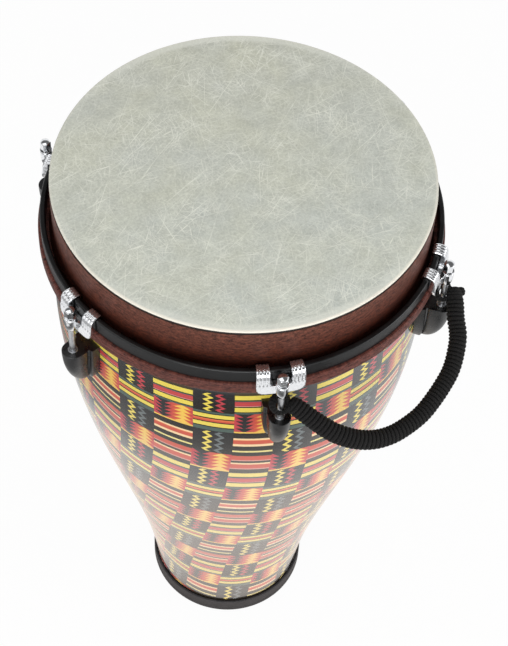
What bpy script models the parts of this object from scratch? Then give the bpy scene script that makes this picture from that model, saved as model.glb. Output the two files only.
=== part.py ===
"""Timbau: a tall conical hand drum with six tension stations and a rope carrying handle.

Metres, +Z up, origin at the middle of the foot's underside. The front station faces -Y.
"""

import math

import bmesh
import bpy
from mathutils import Matrix, Vector

# Overall sizes
HEIGHT = 0.700
HEAD_RADIUS = 0.178
FIT = 0.0003
RING_STEPS = 48
SMOOTH_BELOW = math.radians(32)
FLAT_WITHIN = 1e-7
AXIS_SIZE = 0.03

# Shell
FOOT_RADIUS = 0.085
FOOT_LEAN = 0.05
BELLY_HEIGHT = 0.548
BELLY_SWELL = 0.002
RIM_SETBACK = 0.0055
SHELL_WALL = 0.006
LOWER_LEVELS = 9
UPPER_LEVELS = 5

# Rubber foot ring
FOOT_RING_WALL = 0.0026
FOOT_RING_FLOOR = 0.003
FOOT_RING_HEIGHT = 0.020
FOOT_RING_LIP = 0.013

# Skin and the collar that holds it
SKIN_THICKNESS = 0.0008
SKIN_BEND = 0.0018
SKIN_SKIRT = 0.0062
COLLAR_WALL = 0.0018
COLLAR_STEP = 0.0037
COLLAR_LEDGE = 0.0062
LEDGE_REACH = 0.0031
COLLAR_LENGTH = 0.0603
FLANGE_HEIGHT = 0.0133
FLANGE_LIP = 0.0025
FLANGE_ROUND = 0.0016

# Tension hoop
HOOP_WIDTH = 0.0052
HOOP_HEIGHT = 0.0160
HOOP_ROUND = 0.0012

# Stations: claws, bolts, washers, lugs
STATIONS = 6
FIRST_STATION = math.radians(-90)
CLAW_PLATE = 0.0028
CLAW_TIP = 0.0018
TIP_CLEARANCE = 0.0005
ARM_CLEARANCE = 0.0004
ARM_DEPTH = 0.0056
ARM_ROUND = 0.0045
WEB_CLEARANCE = 0.0023
WEB_RISE = 0.0061
TIP_LENGTH = 0.0035
CLAW_HALF_WIDTH = 0.0215
CLAW_GAP_HALF = 0.0091
WEB_HEIGHT = 0.0105
WEB_CORNER = 0.0085
GAP_CORNER = 0.0036
BOSS_RADIUS = 0.0062
BOSS_FOOT_RADIUS = 0.0046
BOSS_HEIGHT = 0.016
BOSS_ABOVE_WEB = 0.0012
BOSS_INSET = 0.0024
BOLT_RADIUS = 0.00295
BOLT_BORE = 0.0033
BOLT_HEAD_RADIUS = 0.0055
BOLT_HEAD_HEIGHT = 0.0075
BOLT_ENGAGEMENT = 0.024
BOLT_TIP_ROOM = 0.004
WASHER_RADIUS = 0.0064
WASHER_THICKNESS = 0.0012
LUG_BELOW_FLANGE = 0.0264
LUG_LENGTH = 0.052
LUG_FRONT = 0.0102
LUG_HALF_WIDTH = 0.0105
LUG_BASE_HALF_WIDTH = 0.0130
LUG_BASE = 0.0090
NUT_RADIUS = 0.0040
NUT_LENGTH = 0.020
NUT_FLANGE_RADIUS = 0.0047
NUT_FLANGE = 0.0008

# Screws that hold each lug from inside the shell
SCREW_DROPS = {"upper": 0.012, "lower": 0.037}
SCREW_RADIUS = 0.00175
SCREW_GRIP = 0.008
SCREW_HEAD_RADIUS = 0.0038
SCREW_HEAD_HEIGHT = 0.0024
PLATE_HALF_WIDTH = 0.008
PLATE_MARGIN = 0.007
PLATE_THICKNESS = 0.0015
PLATE_CLEARANCE = 0.0006

# Rope handle, in its own plane: along the line between its two bolts, then away from it
HANDLE_BEARING = math.radians(30)
HANDLE_DROOP = math.radians(30)
ROPE_RADIUS = 0.0085
RIB_DEPTH = 0.0009
RIB_PITCH = 0.0039
ROUTE = [
    (-0.0895, 0.0055),
    (-0.0856, 0.0142),
    (-0.0822, 0.0228),
    (-0.0760, 0.0368),
    (-0.0689, 0.0490),
    (-0.0565, 0.0626),
    (-0.0412, 0.0728),
    (-0.0238, 0.0786),
    (-0.0056, 0.0802),
    (0.0128, 0.0793),
    (0.0299, 0.0752),
    (0.0466, 0.0696),
    (0.0622, 0.0627),
    (0.0759, 0.0527),
    (0.0883, 0.0403),
    (0.0966, 0.0255),
    (0.1030, 0.0160),
    (0.1068, 0.0098),
]
EYE_RADIUS = 0.0062
EYE_CORD = 0.0021
KNOT_RADIUS = 0.0050
KNOT_LENGTH = 0.0050

# Heights worked out from the top down
SHELL_TOP = HEIGHT - SKIN_THICKNESS - FIT
SHELL_BOTTOM = FOOT_RING_FLOOR + FIT
COLLAR_TOP = HEIGHT - COLLAR_STEP
SKIRT_END = HEIGHT - SKIN_BEND - SKIN_SKIRT
FLANGE_TOP = HEIGHT - COLLAR_LENGTH
FLANGE_BOTTOM = FLANGE_TOP - FLANGE_HEIGHT
HOOP_BOTTOM = FLANGE_TOP + FIT
HOOP_TOP = HOOP_BOTTOM + HOOP_HEIGHT
CLAW_TOP = HOOP_TOP + FIT + CLAW_PLATE
WEB_BOTTOM = FLANGE_BOTTOM + WEB_RISE
BOSS_BOTTOM = WEB_BOTTOM + BOSS_ABOVE_WEB
BOSS_TOP = BOSS_BOTTOM + BOSS_HEIGHT
WASHER_BOTTOM = BOSS_TOP + FIT
BOLT_SEAT = WASHER_BOTTOM + WASHER_THICKNESS + FIT
LUG_TOP = FLANGE_BOTTOM - LUG_BELOW_FLANGE
LOOP_HEIGHT = (LUG_TOP + BOSS_BOTTOM) / 2

# Radii worked out from the head outwards
BELLY_RADIUS = HEAD_RADIUS + BELLY_SWELL
RIM_RADIUS = HEAD_RADIUS - RIM_SETBACK


def shell_radius(z):
    """Outer radius of the shell: a swelling cone up to the belly, then drawn in to the rim."""
    if z > BELLY_HEIGHT:
        share = (z - BELLY_HEIGHT) / (SHELL_TOP - BELLY_HEIGHT)
        return BELLY_RADIUS + (RIM_RADIUS - BELLY_RADIUS) * share**2
    t = z / BELLY_HEIGHT
    foot = (1 - 3 * t**2 + 2 * t**3) * FOOT_RADIUS
    lean = (t - 2 * t**2 + t**3) * FOOT_LEAN * BELLY_HEIGHT
    belly = (3 * t**2 - 2 * t**3) * BELLY_RADIUS
    return foot + lean + belly


def shell_inner(z):
    return shell_radius(z) - SHELL_WALL


COLLAR_INNER = max(HEAD_RADIUS, shell_radius(FLANGE_BOTTOM)) + FIT
COLLAR_OUTER = COLLAR_INNER + COLLAR_WALL
TIP_INNER = COLLAR_OUTER + TIP_CLEARANCE
TIP_OUTER = TIP_INNER + CLAW_TIP
HOOP_INNER = TIP_OUTER + TIP_CLEARANCE + FIT
HOOP_OUTER = HOOP_INNER + HOOP_WIDTH
FLANGE_OUTER = HOOP_OUTER + FLANGE_LIP
ARM_INNER = HOOP_OUTER + ARM_CLEARANCE
WEB_INNER = FLANGE_OUTER + WEB_CLEARANCE
WEB_OUTER = WEB_INNER + CLAW_PLATE
BOLT_CIRCLE = WEB_OUTER + BOSS_RADIUS - BOSS_INSET


def material(name, colour, roughness, metallic=0.0):
    made = bpy.data.materials.new(name)
    made.use_nodes = True
    surface = made.node_tree.nodes["Principled BSDF"]
    surface.inputs["Base Color"].default_value = (*colour, 1.0)
    surface.inputs["Roughness"].default_value = roughness
    surface.inputs["Metallic"].default_value = metallic
    return made


def place(name, data, parent=None, matrix=None):
    """Puts a mesh, a curve or an empty in the scene, where matrix says under its parent."""
    made = bpy.data.objects.new(name, data)
    bpy.context.scene.collection.objects.link(made)
    made.parent = parent
    if matrix is not None:
        made.matrix_local = matrix
    return made


def add(name, data, skin, parent=None, matrix=None):
    """Places one sub-part in its material."""
    data.materials.clear()
    data.materials.append(skin)
    if isinstance(data, bpy.types.Mesh):
        data.shade_smooth()
        data.set_sharp_from_angle(angle=SMOOTH_BELOW)
    return place(name, data, parent, matrix)


def add_axis(name, matrix):
    """An empty on a joint's axis, the parent of what the joint moves."""
    made = place(name, None, matrix=matrix)
    made.empty_display_size = AXIS_SIZE
    return made


def mesh_from(bm):
    bmesh.ops.recalc_face_normals(bm, faces=bm.faces)
    mesh = bpy.data.meshes.new("mesh")
    bm.to_mesh(mesh)
    bm.free()
    return mesh


def lathe(profile, steps=RING_STEPS):
    """Turns a closed outline of (radius, height) points round the Z axis."""
    bm = bmesh.new()
    points = [bm.verts.new((radius, 0, height)) for radius, height in profile]
    edges = []
    for first, second in zip(points, points[1:] + points[:1]):
        on_axis = abs(first.co.x) < 1e-9 and abs(second.co.x) < 1e-9
        if not on_axis:
            edges.append(bm.edges.new((first, second)))
    bmesh.ops.spin(
        bm, geom=points + edges, axis=(0, 0, 1), cent=(0, 0, 0), angle=math.tau, steps=steps, use_merge=True
    )
    bmesh.ops.remove_doubles(bm, verts=bm.verts, dist=1e-7)
    return mesh_from(bm)


def prism(outline, start, end, point):
    """Extrudes an outline of (a, b) values from start to end; point turns (a, b, c) into a place."""
    bm = bmesh.new()
    face = bm.faces.new([bm.verts.new(point(a, b, start)) for a, b in outline])
    grown = bmesh.ops.extrude_face_region(bm, geom=[face])["geom"]
    shift = Vector(point(0, 0, end)) - Vector(point(0, 0, start))
    bmesh.ops.translate(bm, vec=shift, verts=[v for v in grown if isinstance(v, bmesh.types.BMVert)])
    return mesh_from(bm)


def loft(sections):
    """Joins like outlines of points into one closed body."""
    bm = bmesh.new()
    rows = [[bm.verts.new(point) for point in section] for section in sections]
    for low, high in zip(rows, rows[1:]):
        for i in range(len(low)):
            j = (i + 1) % len(low)
            bm.faces.new((low[i], low[j], high[j], high[i]))
    bm.faces.new(rows[0])
    bm.faces.new(rows[-1])
    return mesh_from(bm)


def rod(radius, start, end, steps, end_radius=None):
    """A round bar or cone between two points."""
    start, end = Vector(start), Vector(end)
    along = end - start
    bm = bmesh.new()
    turn = Vector((0, 0, 1)).rotation_difference(along).to_matrix().to_4x4()
    bmesh.ops.create_cone(
        bm,
        cap_ends=True,
        segments=steps,
        radius1=radius,
        radius2=radius if end_radius is None else end_radius,
        depth=along.length,
        matrix=Matrix.Translation((start + end) / 2) @ turn @ Matrix.Rotation(math.pi / steps, 4, "Z"),
    )
    return mesh_from(bm)


def torus(ring, cord, ring_steps=20, cord_steps=8):
    """A ring of round cord in the XY plane."""
    turns = [math.tau * i / cord_steps for i in range(cord_steps)]
    profile = [(ring + cord * math.cos(a), cord * math.sin(a)) for a in turns]
    return lathe(profile, ring_steps)


def is_flat(face):
    centre = face.calc_center_median()
    return all(abs((vertex.co - centre).dot(face.normal)) < FLAT_WITHIN for vertex in face.verts)


def with_flat_faces(mesh):
    """The mesh with its warped faces split into triangles, so that a cut reads them in one way."""
    bm = bmesh.new()
    bm.from_mesh(mesh)
    bm.normal_update()
    bmesh.ops.triangulate(bm, faces=[face for face in bm.faces if not is_flat(face)])
    return mesh_from(bm)


def in_order(mesh):
    """The mesh with its points and faces sorted, so that every run gives the same one."""
    points = [tuple(vertex.co) for vertex in mesh.vertices]
    order = sorted(range(len(points)), key=lambda i: points[i])
    rank = {old: new for new, old in enumerate(order)}
    faces = []
    for polygon in mesh.polygons:
        ring = [rank[i] for i in polygon.vertices]
        start = ring.index(min(ring))
        faces.append(ring[start:] + ring[:start])
    made = bpy.data.meshes.new("mesh")
    made.from_pydata([points[i] for i in order], [], sorted(faces))
    return made


def combine(mesh, tools, operation):
    """The mesh after cutting, joining or keeping what it shares with each tool in turn."""
    target = place("target", with_flat_faces(mesh))
    helpers = [place("tool", with_flat_faces(tool)) for tool in tools]
    for helper in helpers:
        step = target.modifiers.new(operation.lower(), "BOOLEAN")
        step.operation = operation
        step.solver = "EXACT"
        step.object = helper
    graph = bpy.context.evaluated_depsgraph_get()
    result = bpy.data.meshes.new_from_object(target.evaluated_get(graph))
    for used in [target, *helpers]:
        bpy.data.objects.remove(used)
    return in_order(result)


def around(mesh, radius, cuts):
    """Bends a flat-built mesh round the Z axis: its Y, first cut at these places, becomes an arc length."""
    bm = bmesh.new()
    bm.from_mesh(mesh)
    for place in cuts:
        geometry = bm.verts[:] + bm.edges[:] + bm.faces[:]
        bmesh.ops.bisect_plane(bm, geom=geometry, dist=1e-7, plane_co=(0, place, 0), plane_no=(0, 1, 0))
    bmesh.ops.triangulate(bm, faces=bm.faces)
    for vertex in bm.verts:
        reach, along, height = vertex.co
        angle = along / radius
        vertex.co = (reach * math.cos(angle), reach * math.sin(angle), height)
    return mesh_from(bm)


def corner(centre, radius, start, end, steps=3):
    """Points of a round corner, from one angle to another in degrees."""
    angles = [math.radians(start + (end - start) * i / steps) for i in range(steps + 1)]
    return [(centre[0] + radius * math.cos(a), centre[1] + radius * math.sin(a)) for a in angles]


def superellipse(t, power):
    return max(0.0, 1 - t**power) ** (1 / power)


def shell_levels():
    rise = (BELLY_HEIGHT - FOOT_RING_HEIGHT) / LOWER_LEVELS
    lower = [FOOT_RING_HEIGHT + rise * i for i in range(LOWER_LEVELS)]
    rim = SHELL_TOP - SHELL_WALL / 2
    upper = [BELLY_HEIGHT + (rim - BELLY_HEIGHT) * i / UPPER_LEVELS for i in range(UPPER_LEVELS + 1)]
    return [SHELL_BOTTOM, *lower, *upper]


def screw_heights():
    return {name: LUG_TOP - drop for name, drop in SCREW_DROPS.items()}


def plate_levels():
    """Heights of the plate's two ends and its middle. The shell's inner wall has a ring at each."""
    heights = screw_heights()
    low, high = heights["lower"] - PLATE_MARGIN, heights["upper"] + PLATE_MARGIN
    return [low, (low + high) / 2, high]


def screw_holes():
    """Cutters for the lug screws' holes at every station."""
    bores = []
    for angle in station_angles():
        for height in screw_heights().values():
            start = (RIM_RADIUS - 4 * SHELL_WALL, 0, height)
            bore = rod(SCREW_RADIUS + FIT, start, (BELLY_RADIUS + SHELL_WALL, 0, height), 8)
            bore.transform(Matrix.Rotation(angle, 4, "Z"))
            bores.append(bore)
    return bores


def station_angles():
    return [FIRST_STATION + math.tau * i / STATIONS for i in range(STATIONS)]


def build_shell():
    levels = shell_levels()
    outer = [(shell_radius(z), z) for z in levels]
    middle = RIM_RADIUS - SHELL_WALL / 2
    rim = corner((middle, levels[-1]), SHELL_WALL / 2, 40, 140, 2)
    coarse = levels[: LOWER_LEVELS + 1 : 2] + levels[LOWER_LEVELS + 1 :] + plate_levels()
    inner = [(shell_inner(z), z) for z in sorted(coarse, reverse=True)]
    return combine(lathe(outer + rim + inner), screw_holes(), "DIFFERENCE")


def build_foot_ring():
    outside = shell_radius(FOOT_RING_HEIGHT) + FIT + FOOT_RING_WALL
    inside = shell_inner(SHELL_BOTTOM) - FIT - FOOT_RING_WALL
    edge = FOOT_RING_WALL / 2
    profile = [
        (inside + edge, 0),
        (outside - edge, 0),
        (outside, edge),
        (outside, FOOT_RING_HEIGHT - edge),
        (outside - edge, FOOT_RING_HEIGHT),
        (shell_radius(FOOT_RING_HEIGHT) + FIT, FOOT_RING_HEIGHT),
        (shell_radius(SHELL_BOTTOM) + FIT, FOOT_RING_FLOOR),
        (shell_inner(SHELL_BOTTOM) - FIT, FOOT_RING_FLOOR),
        (shell_inner(SHELL_BOTTOM) - FIT, FOOT_RING_LIP),
        (inside, FOOT_RING_LIP),
        (inside, edge),
    ]
    return lathe(profile)


def build_skin():
    bend = (HEAD_RADIUS - SKIN_BEND, HEIGHT - SKIN_BEND)
    outside = corner(bend, SKIN_BEND, 90, 0)
    inside = corner(bend, SKIN_BEND - SKIN_THICKNESS, 0, 90)
    edge = [(HEAD_RADIUS, SKIRT_END), (HEAD_RADIUS - SKIN_THICKNESS, SKIRT_END)]
    middle = [(0, HEIGHT - SKIN_THICKNESS), (0, HEIGHT)]
    return lathe(outside + edge + inside + middle)


def build_collar():
    ledge_top = SKIRT_END - FIT
    ledge_bottom = ledge_top - COLLAR_LEDGE
    ledge_radius = HEAD_RADIUS - LEDGE_REACH
    soft = COLLAR_WALL / 2
    profile = [
        (HEAD_RADIUS + FIT, ledge_top),
        (HEAD_RADIUS + FIT, COLLAR_TOP - soft),
        (COLLAR_INNER + soft, COLLAR_TOP),
        (COLLAR_OUTER, COLLAR_TOP - soft),
        (COLLAR_OUTER, FLANGE_TOP),
        (FLANGE_OUTER - FLANGE_ROUND, FLANGE_TOP),
        (FLANGE_OUTER, FLANGE_TOP - FLANGE_ROUND),
        (FLANGE_OUTER, FLANGE_BOTTOM + FLANGE_ROUND),
        (FLANGE_OUTER - FLANGE_ROUND, FLANGE_BOTTOM),
        (COLLAR_INNER, FLANGE_BOTTOM),
        (COLLAR_INNER, ledge_bottom - LEDGE_REACH / 2),
        (ledge_radius, ledge_bottom),
        (ledge_radius, ledge_top),
    ]
    return lathe(profile)


def build_hoop():
    profile = [
        (HOOP_INNER, HOOP_BOTTOM),
        (HOOP_OUTER - HOOP_ROUND, HOOP_BOTTOM),
        (HOOP_OUTER, HOOP_BOTTOM + HOOP_ROUND),
        (HOOP_OUTER, HOOP_TOP - HOOP_ROUND),
        (HOOP_OUTER - HOOP_ROUND, HOOP_TOP),
        (HOOP_INNER + HOOP_ROUND, HOOP_TOP),
        (HOOP_INNER, HOOP_TOP - HOOP_ROUND),
    ]
    return lathe(profile)


def claw_side():
    """The claw seen from the side: (radius, height) from the web up the arm and over the hoop."""
    arm_outer = ARM_INNER + ARM_DEPTH
    step = FLANGE_TOP + HOOP_ROUND
    under = HOOP_TOP + FIT
    return [
        (WEB_INNER, WEB_BOTTOM - FIT),
        (WEB_OUTER, WEB_BOTTOM - FIT),
        (WEB_OUTER, WEB_BOTTOM + WEB_HEIGHT),
        *corner((arm_outer - ARM_ROUND, CLAW_TOP - ARM_ROUND), ARM_ROUND, 0, 90, 3),
        (TIP_INNER + CLAW_PLATE / 2, CLAW_TOP),
        (TIP_INNER, CLAW_TOP - CLAW_PLATE / 2),
        (TIP_INNER, under - TIP_LENGTH),
        (TIP_OUTER, under - TIP_LENGTH),
        (TIP_OUTER, under),
        (ARM_INNER, under),
        (ARM_INNER, step),
        (WEB_INNER, FLANGE_TOP),
    ]


def claw_front():
    """The claw seen from outside: (sideways, height), two arms on a round-cornered web."""
    over = CLAW_TOP + CLAW_PLATE
    low = WEB_BOTTOM + WEB_CORNER
    web_top = WEB_BOTTOM + WEB_HEIGHT
    outer_x = CLAW_HALF_WIDTH - WEB_CORNER
    inner_x = CLAW_GAP_HALF - GAP_CORNER
    right = [
        *corner((outer_x, low), WEB_CORNER, -90, 0),
        (CLAW_HALF_WIDTH, over),
        (CLAW_GAP_HALF, over),
        *corner((inner_x, web_top + GAP_CORNER), GAP_CORNER, 0, -90, 2),
    ]
    left = [(-a, b) for a, b in reversed(right)]
    return right + left


def build_claw():
    side = prism(claw_side(), -2 * CLAW_HALF_WIDTH, 2 * CLAW_HALF_WIDTH, lambda a, b, c: (a, c, b))
    reach = (TIP_INNER - CLAW_PLATE, BOLT_CIRCLE)
    front = prism(claw_front(), *reach, lambda a, b, c: (c, a, b))
    flat = combine(side, [front], "INTERSECT")
    plate = around(flat, HOOP_OUTER, (-CLAW_GAP_HALF, 0, CLAW_GAP_HALF))
    boss = rod(BOSS_FOOT_RADIUS, (BOLT_CIRCLE, 0, BOSS_BOTTOM), (BOLT_CIRCLE, 0, BOSS_TOP), 16, BOSS_RADIUS)
    whole = combine(plate, [boss], "UNION")
    bore = rod(
        BOLT_BORE, (BOLT_CIRCLE, 0, BOSS_BOTTOM - BOSS_HEIGHT), (BOLT_CIRCLE, 0, BOSS_TOP + BOSS_HEIGHT), 12
    )
    return combine(whole, [bore], "DIFFERENCE")


def at_bolt(mesh):
    mesh.transform(Matrix.Translation((BOLT_CIRCLE, 0, 0)))
    return mesh


def build_bolt():
    """A hex bolt on its own axis, measured from under its head."""
    length = BOLT_SEAT - LUG_TOP + BOLT_ENGAGEMENT
    shank = rod(BOLT_RADIUS, (0, 0, -length), (0, 0, BOLT_HEAD_HEIGHT / 2), 12)
    head = rod(BOLT_HEAD_RADIUS, (0, 0, 0), (0, 0, BOLT_HEAD_HEIGHT), 6)
    return combine(head, [shank], "UNION")


def build_washer():
    bottom, top = WASHER_BOTTOM, WASHER_BOTTOM + WASHER_THICKNESS
    return at_bolt(
        lathe([(BOLT_BORE, bottom), (WASHER_RADIUS, bottom), (WASHER_RADIUS, top), (BOLT_BORE, top)], 12)
    )


def build_nut():
    flange = LUG_TOP + FIT
    profile = [
        (BOLT_BORE, LUG_TOP - NUT_LENGTH),
        (NUT_RADIUS, LUG_TOP - NUT_LENGTH),
        (NUT_RADIUS, flange),
        (NUT_FLANGE_RADIUS, flange),
        (NUT_FLANGE_RADIUS, flange + NUT_FLANGE),
        (BOLT_BORE, flange + NUT_FLANGE),
    ]
    return at_bolt(lathe(profile, 12))


def lug_section(t):
    """One level of the lug, t from 0 at its flat top to 1 at its rounded tail."""
    height = LUG_TOP - t * LUG_LENGTH
    seat = shell_radius(height) + FIT
    base = LUG_BASE_HALF_WIDTH * superellipse(t, 3)
    body = min(LUG_HALF_WIDTH * superellipse(t, 3.5), base * 0.8)
    full = BOLT_CIRCLE + LUG_FRONT - seat - LUG_BASE
    depth = full * superellipse(t, 2.4)
    foot = seat + LUG_BASE * superellipse(t, 4)
    half = [
        (foot + depth, 0),
        (foot + 0.98 * depth, 0.50 * body),
        (foot + 0.90 * depth, 0.80 * body),
        (foot + 0.70 * depth, 0.96 * body),
        (foot + 0.06 * depth, body),
        (foot, body + 0.25 * (base - body)),
        (foot - (foot - seat) * 0.2, base),
        (math.sqrt(seat**2 - base**2), base),
        (math.sqrt(seat**2 - base**2 / 4), base / 2),
    ]
    back = [(seat, 0)]
    other = [(x, -y) for x, y in reversed(half[1:])]
    return [(x, y, height) for x, y in half + back + other]


def build_lug():
    body = loft([lug_section(t) for t in (0, 0.25, 0.48, 0.67, 0.82, 0.93, 0.985)])
    nut_floor = LUG_TOP - NUT_LENGTH - FIT
    floor = LUG_TOP - BOLT_ENGAGEMENT - BOLT_TIP_ROOM
    over = LUG_TOP + LUG_BASE
    tools = [
        rod(NUT_RADIUS + FIT, (BOLT_CIRCLE, 0, nut_floor), (BOLT_CIRCLE, 0, over), 12),
        rod(BOLT_RADIUS + FIT, (BOLT_CIRCLE, 0, floor), (BOLT_CIRCLE, 0, nut_floor + LUG_BASE), 12),
    ]
    for height in screw_heights().values():
        seat = shell_radius(height)
        tools.append(
            rod(SCREW_RADIUS + FIT, (seat - LUG_BASE, 0, height), (seat + SCREW_GRIP + 2 * FIT, 0, height), 8)
        )
    return combine(body, tools, "DIFFERENCE")


def plate_radius(z):
    return shell_inner(z) - PLATE_CLEARANCE


def build_plate():
    """The curved steel plate under the lug's screw heads, inside the shell."""
    sections = []
    for z in plate_levels():
        outer = plate_radius(z)
        inner = outer - PLATE_THICKNESS
        ends = (-PLATE_HALF_WIDTH, 0, PLATE_HALF_WIDTH)
        front = [(outer * math.cos(s / outer), outer * math.sin(s / outer), z) for s in ends]
        back = [(inner * math.cos(s / outer), inner * math.sin(s / outer), z) for s in reversed(ends)]
        sections.append(front + back)
    holes = [
        rod(SCREW_RADIUS + FIT, (RIM_RADIUS - 4 * SHELL_WALL, 0, z), (BELLY_RADIUS, 0, z), 8)
        for z in screw_heights().values()
    ]
    return combine(loft(sections), holes, "DIFFERENCE")


def build_screw(height):
    seat = min(plate_radius(height - SCREW_HEAD_RADIUS), plate_radius(height + SCREW_HEAD_RADIUS))
    under = seat - PLATE_THICKNESS - FIT
    tip = shell_radius(height) + SCREW_GRIP
    head = rod(SCREW_HEAD_RADIUS, (under, 0, height), (under - SCREW_HEAD_HEIGHT, 0, height), 12)
    shank = rod(SCREW_RADIUS, (under - SCREW_HEAD_HEIGHT / 2, 0, height), (tip, 0, height), 8)
    return combine(head, [shank], "UNION")


def handle_frame():
    """Carries the handle's own (along, out, across) coordinates to the drum's."""
    middle = FIRST_STATION + HANDLE_BEARING
    outward = Vector((math.cos(middle), math.sin(middle), 0))
    along = Vector((-math.sin(middle), math.cos(middle), 0))
    out = outward * math.cos(HANDLE_DROOP) - Vector((0, 0, math.sin(HANDLE_DROOP)))
    across = along.cross(out)
    origin = outward * BOLT_CIRCLE * math.cos(math.pi / STATIONS) + Vector((0, 0, LOOP_HEIGHT))
    frame = Matrix((along, out, across)).transposed().to_4x4()
    frame.translation = origin
    return frame


def handle_span():
    """Half the distance between the handle's two bolts."""
    return BOLT_CIRCLE * math.sin(math.pi / STATIONS)


def route_points():
    """The handle's middle line as closely spaced points: a smooth curve with straight ends."""
    knots = [Vector((u, w, 0)) for u, w in ROUTE]
    fine = [knots[0]]
    for i in range(1, len(knots) - 2):
        before, start, end, after = knots[i - 1 : i + 3]
        for step in range(8):
            t = step / 8
            pull = (end - before) * t + (2 * before - 5 * start + 4 * end - after) * t**2
            fine.append(start + (pull + (3 * (start - end) + after - before) * t**3) / 2)
    return fine + knots[-2:]


def along_route(points, distance):
    for first, second in zip(points, points[1:]):
        length = (second - first).length
        if distance <= length:
            return first.lerp(second, distance / length)
        distance -= length
    return points[-1]


def build_grip():
    """The wound part of the rope: a tube whose radius rises and falls once for each turn of cord."""
    points = route_points()
    length = sum((b - a).length for a, b in zip(points, points[1:]))
    ribs = round(length / RIB_PITCH)
    curve = bpy.data.curves.new("handle_grip", "CURVE")
    curve.dimensions = "3D"
    curve.bevel_depth = ROPE_RADIUS
    curve.bevel_resolution = 2
    curve.use_fill_caps = True
    line = curve.splines.new("POLY")
    line.points.add(2 * ribs)
    for i, point in enumerate(line.points):
        point.co = (*along_route(points, length * i / (2 * ribs)), 1)
        point.radius = 1 if i % 2 else 1 - RIB_DEPTH / ROPE_RADIUS
    print(f"handle grip: {length:.4f} m long, {ribs} ribs")
    return curve


def build_loop(side, end, towards):
    """The rope's eye round its bolt, and the knot from which it leaves the wound part."""
    bolt = Vector((side * handle_span(), 0, 0))
    away = (end - towards).normalized()
    knot_end = end + away * KNOT_LENGTH
    ring_side = bolt + (knot_end - bolt).normalized() * EYE_RADIUS
    ring = torus(EYE_RADIUS, EYE_CORD)
    ring.transform(Matrix.Translation(bolt))
    knot = rod(KNOT_RADIUS, end + away * FIT, knot_end, 12, KNOT_RADIUS * 0.8)
    neck = rod(EYE_CORD * 1.4, knot_end - away * KNOT_LENGTH / 2, ring_side, 10)
    whole = combine(combine(ring, [neck], "UNION"), [knot], "UNION")
    grip = rod(ROPE_RADIUS + FIT, end + away * FIT, end - away * 4 * EYE_RADIUS, 24)
    return combine(whole, [grip], "DIFFERENCE")


def add_stations(skins):
    """One copy of each fitting at every station, numbered from the front."""
    fixed = [
        ("lug", build_lug(), "plastic"),
        ("lug_nut", build_nut(), "chrome"),
        ("lug_plate", build_plate(), "steel"),
    ]
    for name, height in screw_heights().items():
        fixed.append((f"lug_screw_{name}", build_screw(height), "steel"))
    riding = [("claw", build_claw(), "chrome"), ("bolt_washer", build_washer(), "chrome")]
    bolt = build_bolt()
    tension_axis = add_axis("tension_axis", Matrix())
    add("tension_hoop", build_hoop(), skins["hoop"], tension_axis)
    for number, angle in enumerate(station_angles(), 1):
        turn = Matrix.Rotation(angle, 4, "Z")
        for name, mesh, skin in fixed:
            add(f"{name}_{number}", mesh, skins[skin], None, turn)
        for name, mesh, skin in riding:
            add(f"{name}_{number}", mesh, skins[skin], tension_axis, turn)
        bolt_axis = add_axis(f"bolt_axis_{number}", turn @ Matrix.Translation((BOLT_CIRCLE, 0, BOLT_SEAT)))
        add(f"tension_bolt_{number}", bolt, skins["chrome"], bolt_axis)


def add_handle(skins):
    axis = add_axis("handle_axis", handle_frame())
    ends = [Vector((u, w, 0)) for u, w in (ROUTE[0], ROUTE[1], ROUTE[-2], ROUTE[-1])]
    add("handle_grip", build_grip(), skins["rope"], axis)
    add("handle_loop_front", build_loop(-1, ends[0], ends[1]), skins["rope"], axis)
    add("handle_loop_right", build_loop(1, ends[3], ends[2]), skins["rope"], axis)


def main():
    for old in list(bpy.data.objects):
        bpy.data.objects.remove(old)
    skins = {
        "shell": material("printed shell", (0.55, 0.23, 0.12), 0.25),
        "rubber": material("foot rubber", (0.05, 0.05, 0.055), 0.8),
        "skin": material("cream skin", (0.57, 0.60, 0.52), 0.5),
        "collar": material("brown collar", (0.12, 0.05, 0.035), 0.45),
        "hoop": material("black hoop", (0.02, 0.02, 0.022), 0.35),
        "chrome": material("chrome", (0.8, 0.8, 0.8), 0.12, 1.0),
        "steel": material("zinc steel", (0.5, 0.5, 0.5), 0.4, 1.0),
        "plastic": material("black plastic", (0.015, 0.015, 0.017), 0.4),
        "rope": material("black cord", (0.012, 0.012, 0.012), 0.8),
    }
    add("shell", build_shell(), skins["shell"])
    add("foot_ring", build_foot_ring(), skins["rubber"])
    add("head_skin", build_skin(), skins["skin"])
    add("head_collar", build_collar(), skins["collar"])
    add_stations(skins)
    add_handle(skins)


main()
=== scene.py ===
"""Looks of the timbau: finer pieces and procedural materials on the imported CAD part.

Metres, in the CAD part's frame: +Z up, origin under the foot, front station towards -Y.
"""

from math import cos, exp, pi, radians, sin, sqrt, tau

import bmesh
import bpy
from mathutils import Matrix, Vector


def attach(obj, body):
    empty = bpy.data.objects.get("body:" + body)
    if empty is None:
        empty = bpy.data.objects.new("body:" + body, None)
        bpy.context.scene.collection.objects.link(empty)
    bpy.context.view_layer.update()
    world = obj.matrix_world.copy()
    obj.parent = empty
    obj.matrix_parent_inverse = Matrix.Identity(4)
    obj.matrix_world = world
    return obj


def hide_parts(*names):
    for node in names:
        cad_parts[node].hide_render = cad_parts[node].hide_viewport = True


# View of the photograph
CAMERA_PLACE = (-0.2144, -1.0027, 1.8817)
CAMERA_YAW = radians(13.02)
CAMERA_PITCH = radians(-54.0)
CAMERA_ROLL = radians(3.5)
CAMERA_LENS = 95.46
CAMERA_SENSOR = 36

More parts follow.
